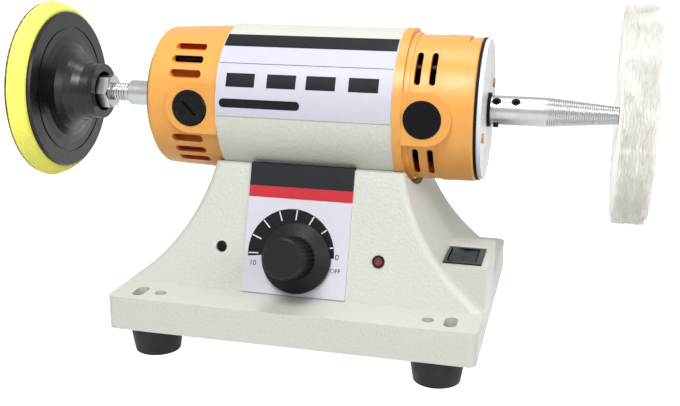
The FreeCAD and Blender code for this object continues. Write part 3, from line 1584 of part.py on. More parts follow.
def threaded_stud():
    body = axis_body("threaded_stud")
    start = shaft_left_end + 0.6
    corners = [(-start, 0), (-start, d.stud_radius), (-(stud_end - 1), d.stud_radius)]
    turned(body, "section", corners + [(-stud_end, d.stud_radius - 1), (-stud_end, 0)])
    return body


def hex_nut():
    body = new_body("hex_nut", x=-nut_start, z=axis_height, axis=Y_AXIS, angle=-90)
    sketch = new_sketch(body, "XY_Plane", "flats")
    hexagon(sketch, d.nut_width, 30)
    circle(sketch, 0, 0, d.stud_radius + d.fit)
    pad(body, sketch, d.nut_height)
    # Both faces are turned down to a round at the corners
    corner = d.nut_width / 2 / cosine(30)
    slant = corner - d.nut_width / 2
    sketch = new_sketch(body, "XZ_Plane", "bevel")
    for face, inward in ((0, 1), (d.nut_height, -1)):
        corners = [(d.nut_width / 2, face), (corner + 1, face)]
        corners.append((corner + 1, face + inward * (slant * 0.6 + 0.6)))
        outline(sketch, corners)
    feature = body.newObject("PartDesign::Groove", "hex_nut_bevel_groove")
    feature.Profile = sketch
    feature.ReferenceAxis = (sketch, ["V_Axis"])
    feature.Angle = 360
    return body


def pad_insert():
    """Threaded steel core moulded into the backing pad."""
    body = axis_body("pad_insert")
    start = nut_start + d.nut_height
    end = flange_face - 1
    bore = d.stud_radius + d.fit
    corners = [(-start, bore), (-end, bore), (-end, insert_radius), (-start, insert_radius)]
    turned(body, "section", corners)
    return body


def pad_backing():
    """Black backing pad: a hub that widens like a trumpet into a grooved flange."""
    body = axis_body("pad_backing")
    bore = insert_radius + d.fit
    floor = hub_face + d.hub_recess_depth
    shoulder = hub_face + d.hub_straight
    rise = flange_face - shoulder
    # The trumpet is a quarter of an ellipse, taken at even turns
    turns = [15 * step for step in range(1, 6)]
    reach = trumpet_radius - d.hub_radius
    curve = [(-(shoulder + rise * sine(turn)), trumpet_radius - reach * cosine(turn))
             for turn in turns]
    groove_in = pad_groove_radius - d.pad_groove_width / 2
    groove_out = pad_groove_radius + d.pad_groove_width / 2
    groove_floor = flange_face + d.pad_groove_depth
    corners = [(-floor, bore), (-floor, d.hub_recess_radius), (-hub_face, d.hub_recess_radius)]
    corners += [(-hub_face, d.hub_radius), (-shoulder, d.hub_radius)] + curve
    corners += [(-flange_face, trumpet_radius), (-flange_face, groove_in), (-groove_floor, groove_in)]
    corners += [(-groove_floor, groove_out), (-flange_face, groove_out)]
    corners += [(-flange_face, flange_radius - 0.8), (-(flange_face + 0.8), flange_radius)]
    corners += [(-flange_back, flange_radius), (-flange_back, bore)]
    turned(body, "section", corners)
    return body


def foam_disc():
    body = axis_body("foam_disc")
    corners = [(-flange_back, 0), (-flange_back, foam_inner_radius - 1)]
    corners += [(-(flange_back + 1), foam_inner_radius), (-(foam_face - 1), d.pad_radius)]
    turned(body, "section", corners + [(-foam_face, d.pad_radius), (-foam_face, 0)])
    return body


def hook_layer():
    body = axis_body("hook_layer")
    corners = [(-foam_face, 0), (-foam_face, d.pad_radius - 0.3), (-pad_face, d.pad_radius - 0.5)]
    turned(body, "section", corners + [(-pad_face, 0)])
    return body


def taper_radius(x):
    """Radius of the spindle's taper at a place along it."""
    share = (x - taper_start) / (taper_end - taper_start)
    return d.spindle_radius - (d.spindle_radius - d.taper_tip_radius) * share


def taper_spindle():
    body = axis_body("taper_spindle")
    bore = d.shaft_radius + d.fit
    bore_end = shaft_right_end + 1
    corners = [(spindle_start, bore), (bore_end, bore), (bore_end + 2, 0), (taper_end, 0)]
    corners += [(taper_end, d.taper_tip_radius - 0.5), (taper_end - 0.5, d.taper_tip_radius)]
    corners += [(taper_start, d.spindle_radius), (spindle_start + 0.5, d.spindle_radius)]
    turned(body, "section", corners + [(spindle_start, d.spindle_radius - 0.5)])
    sketch = new_sketch(body, "XY_Plane", "set_screw_holes", axis=X_AXIS, angle=d.set_screw_angle)
    for number in range(2):
        circle(sketch, set_screw_near + d.set_screw_pitch * number, 0, d.set_screw_radius + d.fit)
    pocket(body, sketch, d.spindle_radius + 1, backwards=True)
    sketch = new_sketch(body, "XY_Plane", "lock_screw_hole", axis=X_AXIS, angle=d.lock_screw_angle)
    circle(sketch, set_screw_near, 0, d.lock_screw_radius + d.fit)
    pocket(body, sketch, d.spindle_radius + 1, backwards=True)
    return body


def shaft_end_screws():
    """Two sunk set-screws and a proud one in the spindle, and one in the sleeve."""
    low = d.shaft_radius + 0.05
    high = d.spindle_radius - d.set_screw_sink
    members = []
    for number in range(2):
        x = set_screw_near + d.set_screw_pitch * number
        label = "set_screw_%d" % (number + 1)
        members.append(radial_screw(label, x, d.set_screw_angle, d.set_screw_radius, low, high))
    members.append(radial_screw("lock_screw", set_screw_near, d.lock_screw_angle, d.lock_screw_radius, low,
                                d.spindle_radius + d.lock_screw_proud))
    members.append(radial_screw("sleeve_screw", -(sleeve_start + d.sleeve_screw_inset), d.set_screw_angle,
                                d.lock_screw_radius, low, d.sleeve_radius - 0.3))
    return group("shaft_end_screws", members)


def cotton_buff():
    """Cotton wheel on the taper, thinner at the hub and soft at its rim."""
    body = axis_body("cotton_buff")
    left = buff_start
    hub_left = left + 1.6
    hub_right = buff_face - 1.6
    rim = d.buff_radius - d.buff_crown
    corners = [(hub_left, taper_radius(hub_left) + d.fit), (hub_left, d.buff_radius / 4)]
    corners.append((left, d.buff_radius / 2))
    corners += [(left, rim), (left + d.buff_crown, d.buff_radius), (buff_face - d.buff_crown, d.buff_radius)]
    corners += [(buff_face, rim), (buff_face, d.buff_radius / 2), (hub_right, d.buff_radius / 4)]
    turned(body, "section", corners + [(hub_right, taper_radius(hub_right) + d.fit)])
    return body


# Controls on the front face


def dial_plate():
    """Bent sheet on the slanted face, with a tab over the lip of the cradle."""
    body = ground_body("dial_plate")
    thick = d.dial_thickness
    corner_rise = (d.pedestal_height + thick - thick * lean_sine) / lean_cosine

    def face_point(rise, out):
        y = -half_foot + rise * lean_sine - out * lean_cosine
        return y, plate_top + rise * lean_cosine + out * lean_sine

    sketch = new_sketch(body, "YZ_Plane", "section", z=-d.dial_left)
    tab_end = -half_lip + d.dial_tab
    corners = [face_point(d.dial_rise, 0), (-half_lip, lip_height), (tab_end, lip_height)]
    corners += [(tab_end, lip_height + thick), face_point(corner_rise, thick), face_point(d.dial_rise, thick)]
    outline(sketch, corners)
    pad(body, sketch, d.dial_width)
    sketch = panel_sketch(body, "stem_hole", d.knob_x, d.knob_rise, thick)
    circle(sketch, 0, 0, d.pot_bush_radius + 0.2)
    pocket(body, sketch, thick * 2)
    return body


def speed_knob():
    body = panel_body("speed_knob", d.knob_x, d.knob_rise)
    low = d.dial_thickness + d.knob_gap
    skirt = low + d.knob_skirt_height
    cone = skirt + d.knob_cone_height
    top = low + d.knob_height
    bore = d.stem_radius + d.fit
    socket = top - d.knob_socket_end
    roof = low + d.knob_recess_depth
    corners = [(d.knob_recess_radius, low), (d.knob_skirt_radius - 0.3, low)]
    corners.append((d.knob_skirt_radius, low + 0.5))
    corners += [(d.knob_skirt_radius - 0.4, skirt), (d.knob_grip_base_radius, cone)]
    corners += [(d.knob_grip_radius, top - d.knob_bevel), (d.knob_grip_radius - d.knob_bevel, top), (0, top)]
    corners.append((0, socket))
    corners += [(bore, socket), (bore, roof), (d.knob_recess_radius, roof)]
    turned(body, "section", corners, upright=True)
    # Flutes round the grip stop short of its front edge
    sketch = new_sketch(body, "XY_Plane", "flute", z=cone - 0.3)
    circle(sketch, d.knob_grip_base_radius + d.knob_flute_offset, 0, d.knob_flute_radius)
    feature = pocket(body, sketch, top - cone - 0.5, backwards=True)
    repeat_round(body, feature, sketch, "N_Axis", d.knob_flutes)
    return body


def potentiometer():
    """Round body behind the wall, with a threaded bush through it and a hex nut in front."""
    low = -d.casting_wall - d.fit
    body = panel_body("pot_case", d.knob_x, d.knob_rise)
    bore = d.stem_radius + d.fit
    bush_end = d.dial_thickness + d.pot_nut_height + 0.3
    corners = [(0, low - d.pot_depth), (d.pot_radius, low - d.pot_depth), (d.pot_radius, low)]
    corners += [(d.pot_bush_radius, low), (d.pot_bush_radius, bush_end), (bore, bush_end)]
    corners += [(bore, low - 6), (0, low - 6)]
    turned(body, "section", corners, upright=True)
    nut = panel_body("pot_nut", d.knob_x, d.knob_rise)
    sketch = new_sketch(nut, "XY_Plane", "flats", z=d.dial_thickness)
    hexagon(sketch, d.pot_nut_width)
    circle(sketch, 0, 0, d.pot_bush_radius + d.fit)
    pad(nut, sketch, d.pot_nut_height)
    group("potentiometer", [body, nut])

    stem = panel_body("pot_stem", d.knob_x, d.knob_rise)
    top = d.dial_thickness + d.knob_gap + d.knob_height - d.knob_socket_end - 0.2
    corners = [(0, low - 5.8), (d.stem_radius, low - 5.8), (d.stem_radius, top), (0, top)]
    turned(stem, "section", corners, upright=True)


def indicator_lamp():
    body = panel_body("indicator_lamp", d.lamp_x, d.lamp_rise)
    shank = d.lamp_lens_radius + 0.7
    lens_bore = d.lamp_lens_radius + d.fit
    low = -d.casting_wall
    corners = [(0, low - 8), (shank, low - 8), (shank, 0), (d.lamp_flange_radius, 0)]
    corners += [(d.lamp_flange_radius - 0.3, d.lamp_flange_height), (lens_bore, d.lamp_flange_height)]
    turned(body, "section", corners + [(lens_bore, low + 1), (0, low + 1)], upright=True)

    lens = panel_body("indicator_lens", d.lamp_x, d.lamp_rise)
    rim = d.lamp_flange_height
    corners = [(0, low + 1.1), (d.lamp_lens_radius, low + 1.1), (d.lamp_lens_radius, rim)]
    corners.append((d.lamp_lens_radius * cosine(40), rim + d.lamp_lens_radius * 0.28))
    corners.append((0, rim + d.lamp_lens_radius * 0.4))
    turned(lens, "section", corners, upright=True)


def front_screw():
    """Black screw in a recess of the front face, with its nut behind the wall."""
    recess = -d.front_screw_recess_depth
    body = panel_body("front_bolt", d.front_screw_x, d.front_screw_rise)
    tip = -d.front_screw_length
    head_radius = d.front_screw_recess_radius - 0.4
    top = recess + 1.6
    corners = [(0, tip), (d.front_screw_radius, tip), (d.front_screw_radius, recess), (head_radius, recess)]
    corners += [(head_radius, recess + 0.9), (d.front_screw_radius, top), (0, top)]
    turned(body, "bolt", corners, upright=True)
    driver_slot(body, "slot", top, head_radius * 2, d.small_slot_width, d.small_slot_depth)
    nut = panel_body("front_nut", d.front_screw_x, d.front_screw_rise)
    sketch = new_sketch(nut, "XY_Plane", "flats", z=-d.casting_wall - d.fit)
    hexagon(sketch, d.front_nut_width)
    circle(sketch, 0, 0, d.front_screw_radius + d.fit)
    pad(nut, sketch, d.front_nut_height, backwards=True)
    return group("front_screw", [body, nut])


# Rocker switch in the block


def switch_housing():
    body = ground_body("switch_housing")
    half_x = d.switch_body_length / 2
    half_y = d.switch_body_width / 2
    sketch = new_sketch(body, "XY_Plane", "bezel", z=block_top)
    rectangle(sketch, switch_x - bezel_length / 2, switch_x + bezel_length / 2,
              switch_y - bezel_width / 2, switch_y + bezel_width / 2)
    pad(body, sketch, d.bezel_height)
    sketch = new_sketch(body, "XY_Plane", "case", z=block_top)
    rectangle(sketch, switch_x - half_x, switch_x + half_x, switch_y - half_y, switch_y + half_y)
    pad(body, sketch, d.switch_body_depth, backwards=True)
    round_edges(body, "bezel_round", d.bezel_round, is_bezel_edge)
    sketch = new_sketch(body, "XY_Plane", "well", z=block_top + d.bezel_height)
    middle = switch_x + d.rocker_offset
    well_x = rocker_length / 2 + d.rocker_side_gap
    well_y = rocker_width / 2 + 0.2
    rectangle(sketch, middle - well_x, middle + well_x, switch_y - well_y, switch_y + well_y)
    pocket(body, sketch, d.rocker_well_depth)
    sketch = new_sketch(body, "XZ_Plane", "pin_hole", z=-switch_y)
    circle(sketch, middle, block_top - d.rocker_pivot_drop, d.rocker_pin_radius + d.fit)
    pocket(body, sketch, rocker_width + 2.4, symmetric=True)
    return body


def is_bezel_edge(edge):
    spot = middle_of(edge)
    top = near(spot.z, block_top + d.bezel_height)
    return top and edge.Length > 5


def switch_rocker():
    """Rocker with a shallow dip in its top, on a pin along Y, resting with its right side down."""
    body = new_body("switch_rocker", x=switch_x + d.rocker_offset, y=switch_y,
                    z=block_top - d.rocker_pivot_drop, axis=Y_AXIS, angle=d.rocker_tilt)
    half = rocker_length / 2
    top = d.rocker_pivot_drop + d.bezel_height
    right = [(half, top), (half - 0.3, -1), (half - 2.6, -3.4)]
    left = [(-x, z) for x, z in reversed(right)]
    sketch = new_sketch(body, "XZ_Plane", "section")
    outline(sketch, [(0, top - d.rocker_dip)] + right + left)
    pad(body, sketch, rocker_width, symmetric=True)
    sketch = new_sketch(body, "XZ_Plane", "pin")
    circle(sketch, 0, 0, d.rocker_pin_radius)
    pad(body, sketch, rocker_width + 2, symmetric=True)
    return body


def switch_terminals():
    members = []
    low = block_top - d.switch_body_depth
    half_x = d.terminal_width / 2
    half_y = d.terminal_thickness / 2
    for number in range(3):
        y = switch_y + d.terminal_pitch * (number - 1)
        body = new_body("switch_terminal_%d" % (number + 1), x=switch_x, y=y, z=low)
        sketch = new_sketch(body, "XY_Plane", "blade")
        rectangle(sketch, -half_x, half_x, -half_y, half_y)
        pad(body, sketch, d.terminal_length, backwards=True)
        members.append(body)
    return group("switch_terminals", members)


# Speed control and cord gland


def board_places():
    half_x = d.board_length / 2 - d.board_post_inset
    half_y = d.board_depth / 2 - d.board_post_inset
    return [(side * half_x, edge * half_y) for side in (-1, 1) for edge in (-1, 1)]


def control_board():
    low = cover_seat + d.board_post_height
    body = new_body("control_board", z=low)
    sketch = new_sketch(body, "XY_Plane", "sheet")
    rectangle(sketch, -d.board_length / 2, d.board_length / 2, -d.board_depth / 2, d.board_depth / 2)
    pad(body, sketch, d.board_thickness)
    posts = []
    for number, (x, y) in enumerate(board_places(), 1):
        post = new_body("board_post_%d" % number, x=x, y=y, z=cover_seat)
        sketch = new_sketch(post, "XY_Plane", "post")
        circle(sketch, 0, 0, d.board_post_radius)
        pad(post, sketch, d.board_post_height)
        posts.append(post)
    group("board_posts", posts)


def board_parts():
    """Heat sink, filter capacitor and terminal block on the board."""
    low = cover_seat + d.board_post_height + d.board_thickness
    members = []
    pieces = {
        "heat_sink": (-20, 0, 8, 30, 22),
        "terminal_block": (18, -12, 22, 9, 11),
        "filter": (12, 8, 17, 14, 12),
    }
    for label, (x, y, long_x, long_y, tall) in pieces.items():
        body = new_body(label, x=x, y=y, z=low)
        sketch = new_sketch(body, "XY_Plane", "block")
        rectangle(sketch, size(-long_x / 2), size(long_x / 2), size(-long_y / 2), size(long_y / 2))
        pad(body, sketch, size(tall))
        members.append(body)
    return group("board_parts", members)


def cord_gland():
    """Gland in the slanted rear face, where the mains cord enters, with its nut inside."""
    wall = d.casting_wall
    tail = -wall - d.gland_tail
    body = new_body("gland_sleeve", **gland_place())
    corners = [(d.gland_bore, tail), (d.gland_thread_radius, tail), (d.gland_thread_radius, 0)]
    corners += [(d.gland_flange_radius, 0), (d.gland_flange_radius, d.gland_flange_thickness)]
    corners += [(d.gland_bore + 2.6, d.gland_length - 1), (d.gland_bore + 1.8, d.gland_length)]
    turned(body, "section", corners + [(d.gland_bore, d.gland_length)], upright=True)
    nut = new_body("gland_nut", **gland_place())
    sketch = new_sketch(nut, "XY_Plane", "flats", z=-wall - d.fit)
    hexagon(sketch, d.gland_nut_width)
    circle(sketch, 0, 0, d.gland_thread_radius + d.fit)
    pad(nut, sketch, d.gland_nut_height, backwards=True)
    return group("cord_gland", [body, nut])


BUILDERS = [
    base_casting, bottom_cover, cover_screws, rubber_feet, foot_screws,
    motor_barrel, rating_plate, left_end_cap, right_end_cap, end_plates, spindle_bush, disc_screws,
    brush_caps, side_plugs, brush_holders, carbon_brushes, stator_core, field_coils, through_bolts,
    motor_bolts,
    armature_shaft, armature_core, winding_heads, commutator, cooling_fan, bearing_rings,
    shaft_sleeve, threaded_stud, hex_nut, pad_insert, pad_backing, foam_disc, hook_layer,
    taper_spindle, shaft_end_screws, cotton_buff,
    dial_plate, speed_knob, potentiometer, indicator_lamp, front_screw,
    switch_housing, switch_rocker, switch_terminals, control_board, board_parts, cord_gland,
]

for build in BUILDERS:
    build()
doc.recompute()

# A group's members are written with their group, every other body under its own name
grouped = [member for item in doc.Objects if item.TypeId == "Part::Compound" for member in item.Links]
nodes = [item for item in doc.Objects
         if item.TypeId in ("Part::Compound", "PartDesign::Body") and item not in grouped]

for item in doc.Objects:
    if "Invalid" in item.State or "Error" in item.State:
        raise RuntimeError("failed: %s %s" % (item.Name, item.State))
    if item.TypeId in ("PartDesign::Pocket", "PartDesign::Groove"):
        if item.Shape.Volume > item.BaseFeature.Shape.Volume - 0.001:
            raise RuntimeError("cuts nothing: " + item.Name)
for item in nodes:
    if item.Shape.isNull() or not item.Shape.isValid():
        raise RuntimeError("bad shape: " + item.Label)

for item in nodes:
    item.Shape.exportStep("parts/%s.step" % item.Label)
print("%d nodes" % len(nodes))
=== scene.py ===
import json
import math
import random

import bpy
from mathutils import Matrix, Vector, noise


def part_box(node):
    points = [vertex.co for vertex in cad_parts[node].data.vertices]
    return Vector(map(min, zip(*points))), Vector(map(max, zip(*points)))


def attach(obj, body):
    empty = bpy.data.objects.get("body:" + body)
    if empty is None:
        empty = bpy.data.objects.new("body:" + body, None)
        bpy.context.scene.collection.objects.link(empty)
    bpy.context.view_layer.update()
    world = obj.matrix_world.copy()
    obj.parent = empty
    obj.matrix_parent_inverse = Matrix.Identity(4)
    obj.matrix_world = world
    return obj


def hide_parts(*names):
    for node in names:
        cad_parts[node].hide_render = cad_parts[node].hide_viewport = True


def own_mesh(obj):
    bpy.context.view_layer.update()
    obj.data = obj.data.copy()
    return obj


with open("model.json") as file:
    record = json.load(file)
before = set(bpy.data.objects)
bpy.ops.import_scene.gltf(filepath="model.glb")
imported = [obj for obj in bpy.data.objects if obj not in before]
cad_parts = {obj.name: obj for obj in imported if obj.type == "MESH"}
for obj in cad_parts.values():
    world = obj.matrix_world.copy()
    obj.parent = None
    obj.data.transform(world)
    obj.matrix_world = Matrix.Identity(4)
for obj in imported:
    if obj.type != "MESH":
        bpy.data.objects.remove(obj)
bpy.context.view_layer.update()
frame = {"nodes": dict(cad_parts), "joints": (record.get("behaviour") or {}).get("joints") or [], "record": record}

scene = bpy.context.scene
MM = 0.001
FULL_TURN = 2 * math.pi
WHITE = (1, 1, 1, 1)

# Places from the frame: the shaft's height, the knob's centre, and the face of the dial plate
JOINTS = {joint["name"]: joint for joint in frame["joints"]}
AXIS = JOINTS["rotor_spin"]["pos_m"][2]
FACE_SPOT = Vector(JOINTS["knob_turn"]["pos_m"])
FACE_OUT = Vector(JOINTS["knob_turn"]["axis"])
FACE_UP = Vector((0, FACE_OUT.z, -FACE_OUT.y))


# Camera

CAMERA_PLACE = (0.1306, -0.4965, 0.2113)
CAMERA_TURN = 0.246
CAMERA_DIP = 0.270
CAMERA_ROLL = 0.007


def add_camera():
    """The photograph's camera: right of the middle and above the shaft, turned left and down."""
    right = Vector((math.cos(CAMERA_TURN), math.sin(CAMERA_TURN), 0))
    level = Vector((-math.sin(CAMERA_TURN), math.cos(CAMERA_TURN), 0))
    ahead = level * math.cos(CAMERA_DIP) - Vector((0, 0, math.sin(CAMERA_DIP)))
    up = right.cross(ahead)
    tilted_right = right * math.cos(CAMERA_ROLL) + up * math.sin(CAMERA_ROLL)
    tilted_up = up * math.cos(CAMERA_ROLL) - right * math.sin(CAMERA_ROLL)
    data = bpy.data.cameras.new("camera")
    data.sensor_width = 36
    data.lens = 50.6
    data.clip_start = 0.02
    camera = bpy.data.objects.new("camera", data)
    scene.collection.objects.link(camera)
    facing = Matrix((tilted_right, tilted_up, -ahead)).transposed().to_4x4()
    camera.matrix_world = Matrix.Translation(CAMERA_PLACE) @ facing
    scene.camera = camera


add_camera()


# Materials: texture scales are in features to the metre, and bump heights in millimetres

LOOKS = {}


def tone(red, green, blue):
    """A colour given as it looks on a screen, from 0 to 255, as the linear colour that a shader takes."""
    def linear(value):
        value /= 255
        return value / 12.92 if value <= 0.04045 else ((value + 0.055) / 1.055) ** 2.4
    return (linear(red), linear(green), linear(blue), 1)


def scaled(colour, gains, lift=0.0):
    """A colour with its red, green and blue multiplied by the gains, and then lifted."""
    return tuple(part * gain + lift for part, gain in zip(colour, gains)) + (1,)


class Look:
    """A procedural material, built up from textures in the object's own coordinates."""

    def __init__(self, name, colour, rough, metal=0.0, coat=0.0, sheen=0.0):
        self.material = bpy.data.materials.new(name)
        self.material.use_nodes = True
        LOOKS[name] = self.material
        self.nodes = self.material.node_tree.nodes
        self.links = self.material.node_tree.links
        self.shader = self.nodes["Principled BSDF"]
        self.place = self.nodes.new("ShaderNodeTexCoord").outputs["Object"]
        self.base = colour
        self.rough = rough
        self.colour = None
        self.bumped = None
        self.set("Base Color", colour)
        self.set("Roughness", rough)
        self.set("Metallic", metal)
        self.set("Coat Weight", coat)
        self.set("Coat Roughness", 0.15)
        self.set("Sheen Weight", sheen)

    def set(self, socket, value):
        self.shader.inputs[socket].default_value = value

    def texture(self, kind, scale, stretch=(1, 1, 1)):
        mapping = self.nodes.new("ShaderNodeMapping")
        mapping.inputs["Scale"].default_value = stretch
        self.links.new(self.place, mapping.inputs["Vector"])
        node = self.nodes.new(kind)
        node.inputs["Scale"].default_value = scale
        self.links.new(mapping.outputs["Vector"], node.inputs["Vector"])
        return node

    def clouds(self, scale, detail, stretch=(1, 1, 1)):
        """Soft noise, from about 0.3 to 0.7."""
        node = self.texture("ShaderNodeTexNoise", scale, stretch)
        node.inputs["Detail"].default_value = detail
        return node.outputs["Fac"]

    def cells(self, scale):
        """Rounded cells, 0 at the middle of each one."""
        return self.texture("ShaderNodeTexVoronoi", scale).outputs["Distance"]

    def spread(self, value, low, high, start, end):
        """Stretch the values between low and high over start to end."""
        node = self.nodes.new("ShaderNodeMapRange")
        node.inputs["From Min"].default_value = low
        node.inputs["From Max"].default_value = high
        node.inputs["To Min"].default_value = start
        node.inputs["To Max"].default_value = end
        self.links.new(value, node.inputs["Value"])
        return node.outputs["Result"]

    def tint(self, value, colour, low, high, amount=1.0):
        """Colour the places where a texture is high."""
        mix = self.nodes.new("ShaderNodeMix")
        mix.data_type = "RGBA"
        self.links.new(self.spread(value, low, high, 0, amount), mix.inputs["Factor"])
        if self.colour is None:
            mix.inputs["A"].default_value = self.base
        else:
            self.links.new(self.colour, mix.inputs["A"])
        mix.inputs["B"].default_value = colour
        self.colour = mix.outputs["Result"]
        self.links.new(self.colour, self.shader.inputs["Base Color"])

    def worn(self, value, change):
        """Vary the roughness with a texture, by up to change either way."""
        out = self.spread(value, 0.35, 0.65, self.rough - change, self.rough + change)
        self.links.new(out, self.shader.inputs["Roughness"])

    def bump(self, value, height, strength):
        node = self.nodes.new("ShaderNodeBump")
        node.inputs["Strength"].default_value = strength
        node.inputs["Distance"].default_value = height * MM
        self.links.new(value, node.inputs["Height"])
        if self.bumped is not None:
            self.links.new(self.bumped, node.inputs["Normal"])
        self.bumped = node.outputs["Normal"]
        self.links.new(self.bumped, self.shader.inputs["Normal"])

    def band(self, low, high, colour):
        """Colour everything between two heights, with hard edges."""
        split = self.nodes.new("ShaderNodeSeparateXYZ")
        self.links.new(self.place, split.inputs["Vector"])
        node = self.nodes.new("ShaderNodeMath")
        node.operation = "COMPARE"
        self.links.new(split.outputs["Z"], node.inputs[0])
        node.inputs[1].default_value = (low + high) / 2
        node.inputs[2].default_value = (high - low) / 2
        self.tint(node.outputs["Value"], colour, low=0.4, high=0.6)

    def let_light_through(self, colour, share):
        """Mix in light that comes through from behind, as in a thin wall or loose threads."""
        through = self.nodes.new("ShaderNodeBsdfTranslucent")
        through.inputs["Color"].default_value = colour
        self.links.new(self.bumped, through.inputs["Normal"])
        mix = self.nodes.new("ShaderNodeMixShader")
        mix.inputs["Fac"].default_value = share
        self.links.new(self.shader.outputs["BSDF"], mix.inputs[1])
        self.links.new(through.outputs["BSDF"], mix.inputs[2])
        self.links.new(mix.outputs["Shader"], self.nodes["Material Output"].inputs["Surface"])


def paint(name, colour):
    """Sprayed paint with a fine leathery texture and faint dirt."""
    look = Look(name, colour, rough=0.42)
    look.tint(look.clouds(30, detail=2), scaled(colour, (0.93, 0.93, 0.9)), low=0.3, high=0.8, amount=0.6)
    look.tint(look.clouds(900, detail=2), scaled(colour, (1.08, 1.08, 1.07)),
              low=0.45, high=0.8, amount=0.5)
    look.worn(look.clouds(60, detail=3), change=0.06)
    look.bump(look.clouds(640, detail=1.5), height=0.4, strength=0.75)
    look.bump(look.clouds(1500, detail=2), height=0.12, strength=0.4)


def plastic(name, colour, rough, grain=0.02, shine=0.5, patches=0.6, through=None):
    """Moulded plastic with fine grain, slight waves and patches. A thin wall lets light through."""
    look = Look(name, colour, rough)
    look.set("Specular IOR Level", shine)
    look.tint(look.clouds(28, detail=2), scaled(colour, (0.94, 0.93, 0.91)),
              low=0.3, high=0.8, amount=patches)
    look.tint(look.clouds(260, detail=3), scaled(colour, (1.06, 1.06, 1.06), lift=0.001),
              low=0.4, high=0.8, amount=0.4)
    look.worn(look.clouds(90, detail=4), change=0.06)
    look.bump(look.clouds(2200, detail=2), height=grain, strength=0.6)
    look.bump(look.clouds(70, detail=2), height=grain * 3, strength=0.25)
    if through:
        look.let_light_through(through, share=0.22)


def metal(name, colour, rough, stretch=(1, 1, 1), grain=0.01):
    """Metal with tool marks, which lie closest together along the axis with the highest stretch."""
    look = Look(name, colour, rough, metal=1.0)
    marks = look.clouds(700, detail=1, stretch=stretch)
    look.tint(marks, scaled(colour, (0.8, 0.81, 0.82)), low=0.35, high=0.75, amount=0.5)
    look.tint(look.clouds(90, detail=1), scaled(colour, (0.93, 0.92, 0.91)), low=0.3, high=0.8, amount=0.4)
    look.worn(look.clouds(110, detail=1), change=0.03)
    look.bump(marks, height=grain, strength=0.35)


def rubber(name, colour, rough):
    """Dull rubber or pressed carbon with pale dust and an uneven skin."""
    look = Look(name, colour, rough)
    look.set("Specular IOR Level", 0.25)
    look.tint(look.clouds(45, detail=4), scaled(colour, (1.7, 1.7, 1.7), lift=0.006),
              low=0.5, high=0.8, amount=0.6)
    look.tint(look.clouds(400, detail=4), scaled(colour, (1.4, 1.4, 1.4), lift=0.01),
              low=0.6, high=0.8, amount=0.6)
    look.worn(look.clouds(110, detail=4), change=0.1)
    look.bump(look.clouds(900, detail=3), height=0.04, strength=0.6)
    look.bump(look.clouds(90, detail=2), height=0.2, strength=0.3)


def cotton():
    """Loose cotton: fibres over broad patches, and light that comes through."""
    colour = tone(254, 253, 250)
    shade = tone(240, 237, 228)
    look = Look("cotton", colour, rough=0.95, sheen=0.6)
    look.tint(look.clouds(300, detail=4), shade, low=0.45, high=0.8, amount=0.5)
    fibres = look.clouds(1500, detail=3)
    look.tint(fibres, shade, low=0.5, high=0.8, amount=0.4)
    look.bump(fibres, height=0.12, strength=0.5)
    look.bump(look.clouds(450, detail=2), height=0.24, strength=0.3)
    look.let_light_through(colour, share=0.5)


def foam():
    """Open-cell foam in yellow, with painted shade in its small pores."""
    look = Look("foam", tone(252, 250, 112), rough=0.9, sheen=0.1)
    look.tint(look.clouds(60, detail=3), tone(246, 241, 94), low=0.4, high=0.75, amount=0.7)
    pores = look.cells(1100)
    pore_shade_mask = look.spread(pores, low=0.0, high=0.45, start=1, end=0)
    # Painted shade: the middle of each pore, the hollow of the bump, is coloured a darker yellow where shade would
    # fall
    look.tint(pore_shade_mask, tone(222, 208, 84), low=0.3, high=1.0, amount=0.5)
    look.bump(pores, height=0.4, strength=0.5)
    look.bump(look.clouds(300, detail=3), height=0.6, strength=0.4)


def hook_fabric():
    """The layer of hooks on the pad's face: dark gaps between yellowish hooks."""
    look = Look("hook_fabric", tone(150, 140, 60), rough=0.95)
    hooks = look.cells(800)
    look.tint(hooks, tone(38, 38, 34), low=0.25, high=0.5)
    look.tint(look.clouds(260, detail=3), tone(205, 194, 80), low=0.5, high=0.75, amount=0.6)
    look.bump(hooks, height=0.6, strength=0.9)


# Heights of the dial plate's lower edge and of its red band's two edges
DIAL_FOOT = 32.5 * MM
BAND_LOW = DIAL_FOOT + FACE_UP.z * 50.5 * MM
BAND_HIGH = DIAL_FOOT + FACE_UP.z * 56.5 * MM
ABOVE_DIAL = BAND_HIGH + 30 * MM


def dial_enamel():
    """White plate with a red band, charcoal above it and on the tab."""
    look = Look("dial_enamel", tone(204, 205, 214), rough=0.42)
    look.set("Specular IOR Level", 0.2)
    look.tint(look.clouds(40, detail=3), tone(196, 197, 206), low=0.45, high=0.8, amount=0.5)
    look.band(BAND_LOW, BAND_HIGH, tone(190, 48, 58))
    look.band(BAND_HIGH, ABOVE_DIAL, tone(28, 30, 35))
    look.worn(look.clouds(120, detail=4), change=0.07)
    look.bump(look.clouds(1100, detail=2), height=0.01, strength=0.4)


def red_lens():
    """Dark red moulded lens that lets some light in."""
    look = Look("red_lens", tone(112, 12, 14), rough=0.12, coat=0.4)
    look.tint(look.clouds(500, detail=2), tone(160, 24, 22), low=0.45, high=0.7, amount=0.6)
    look.bump(look.cells(900), height=0.1, strength=0.4)
    look.set("Transmission Weight", 0.25)


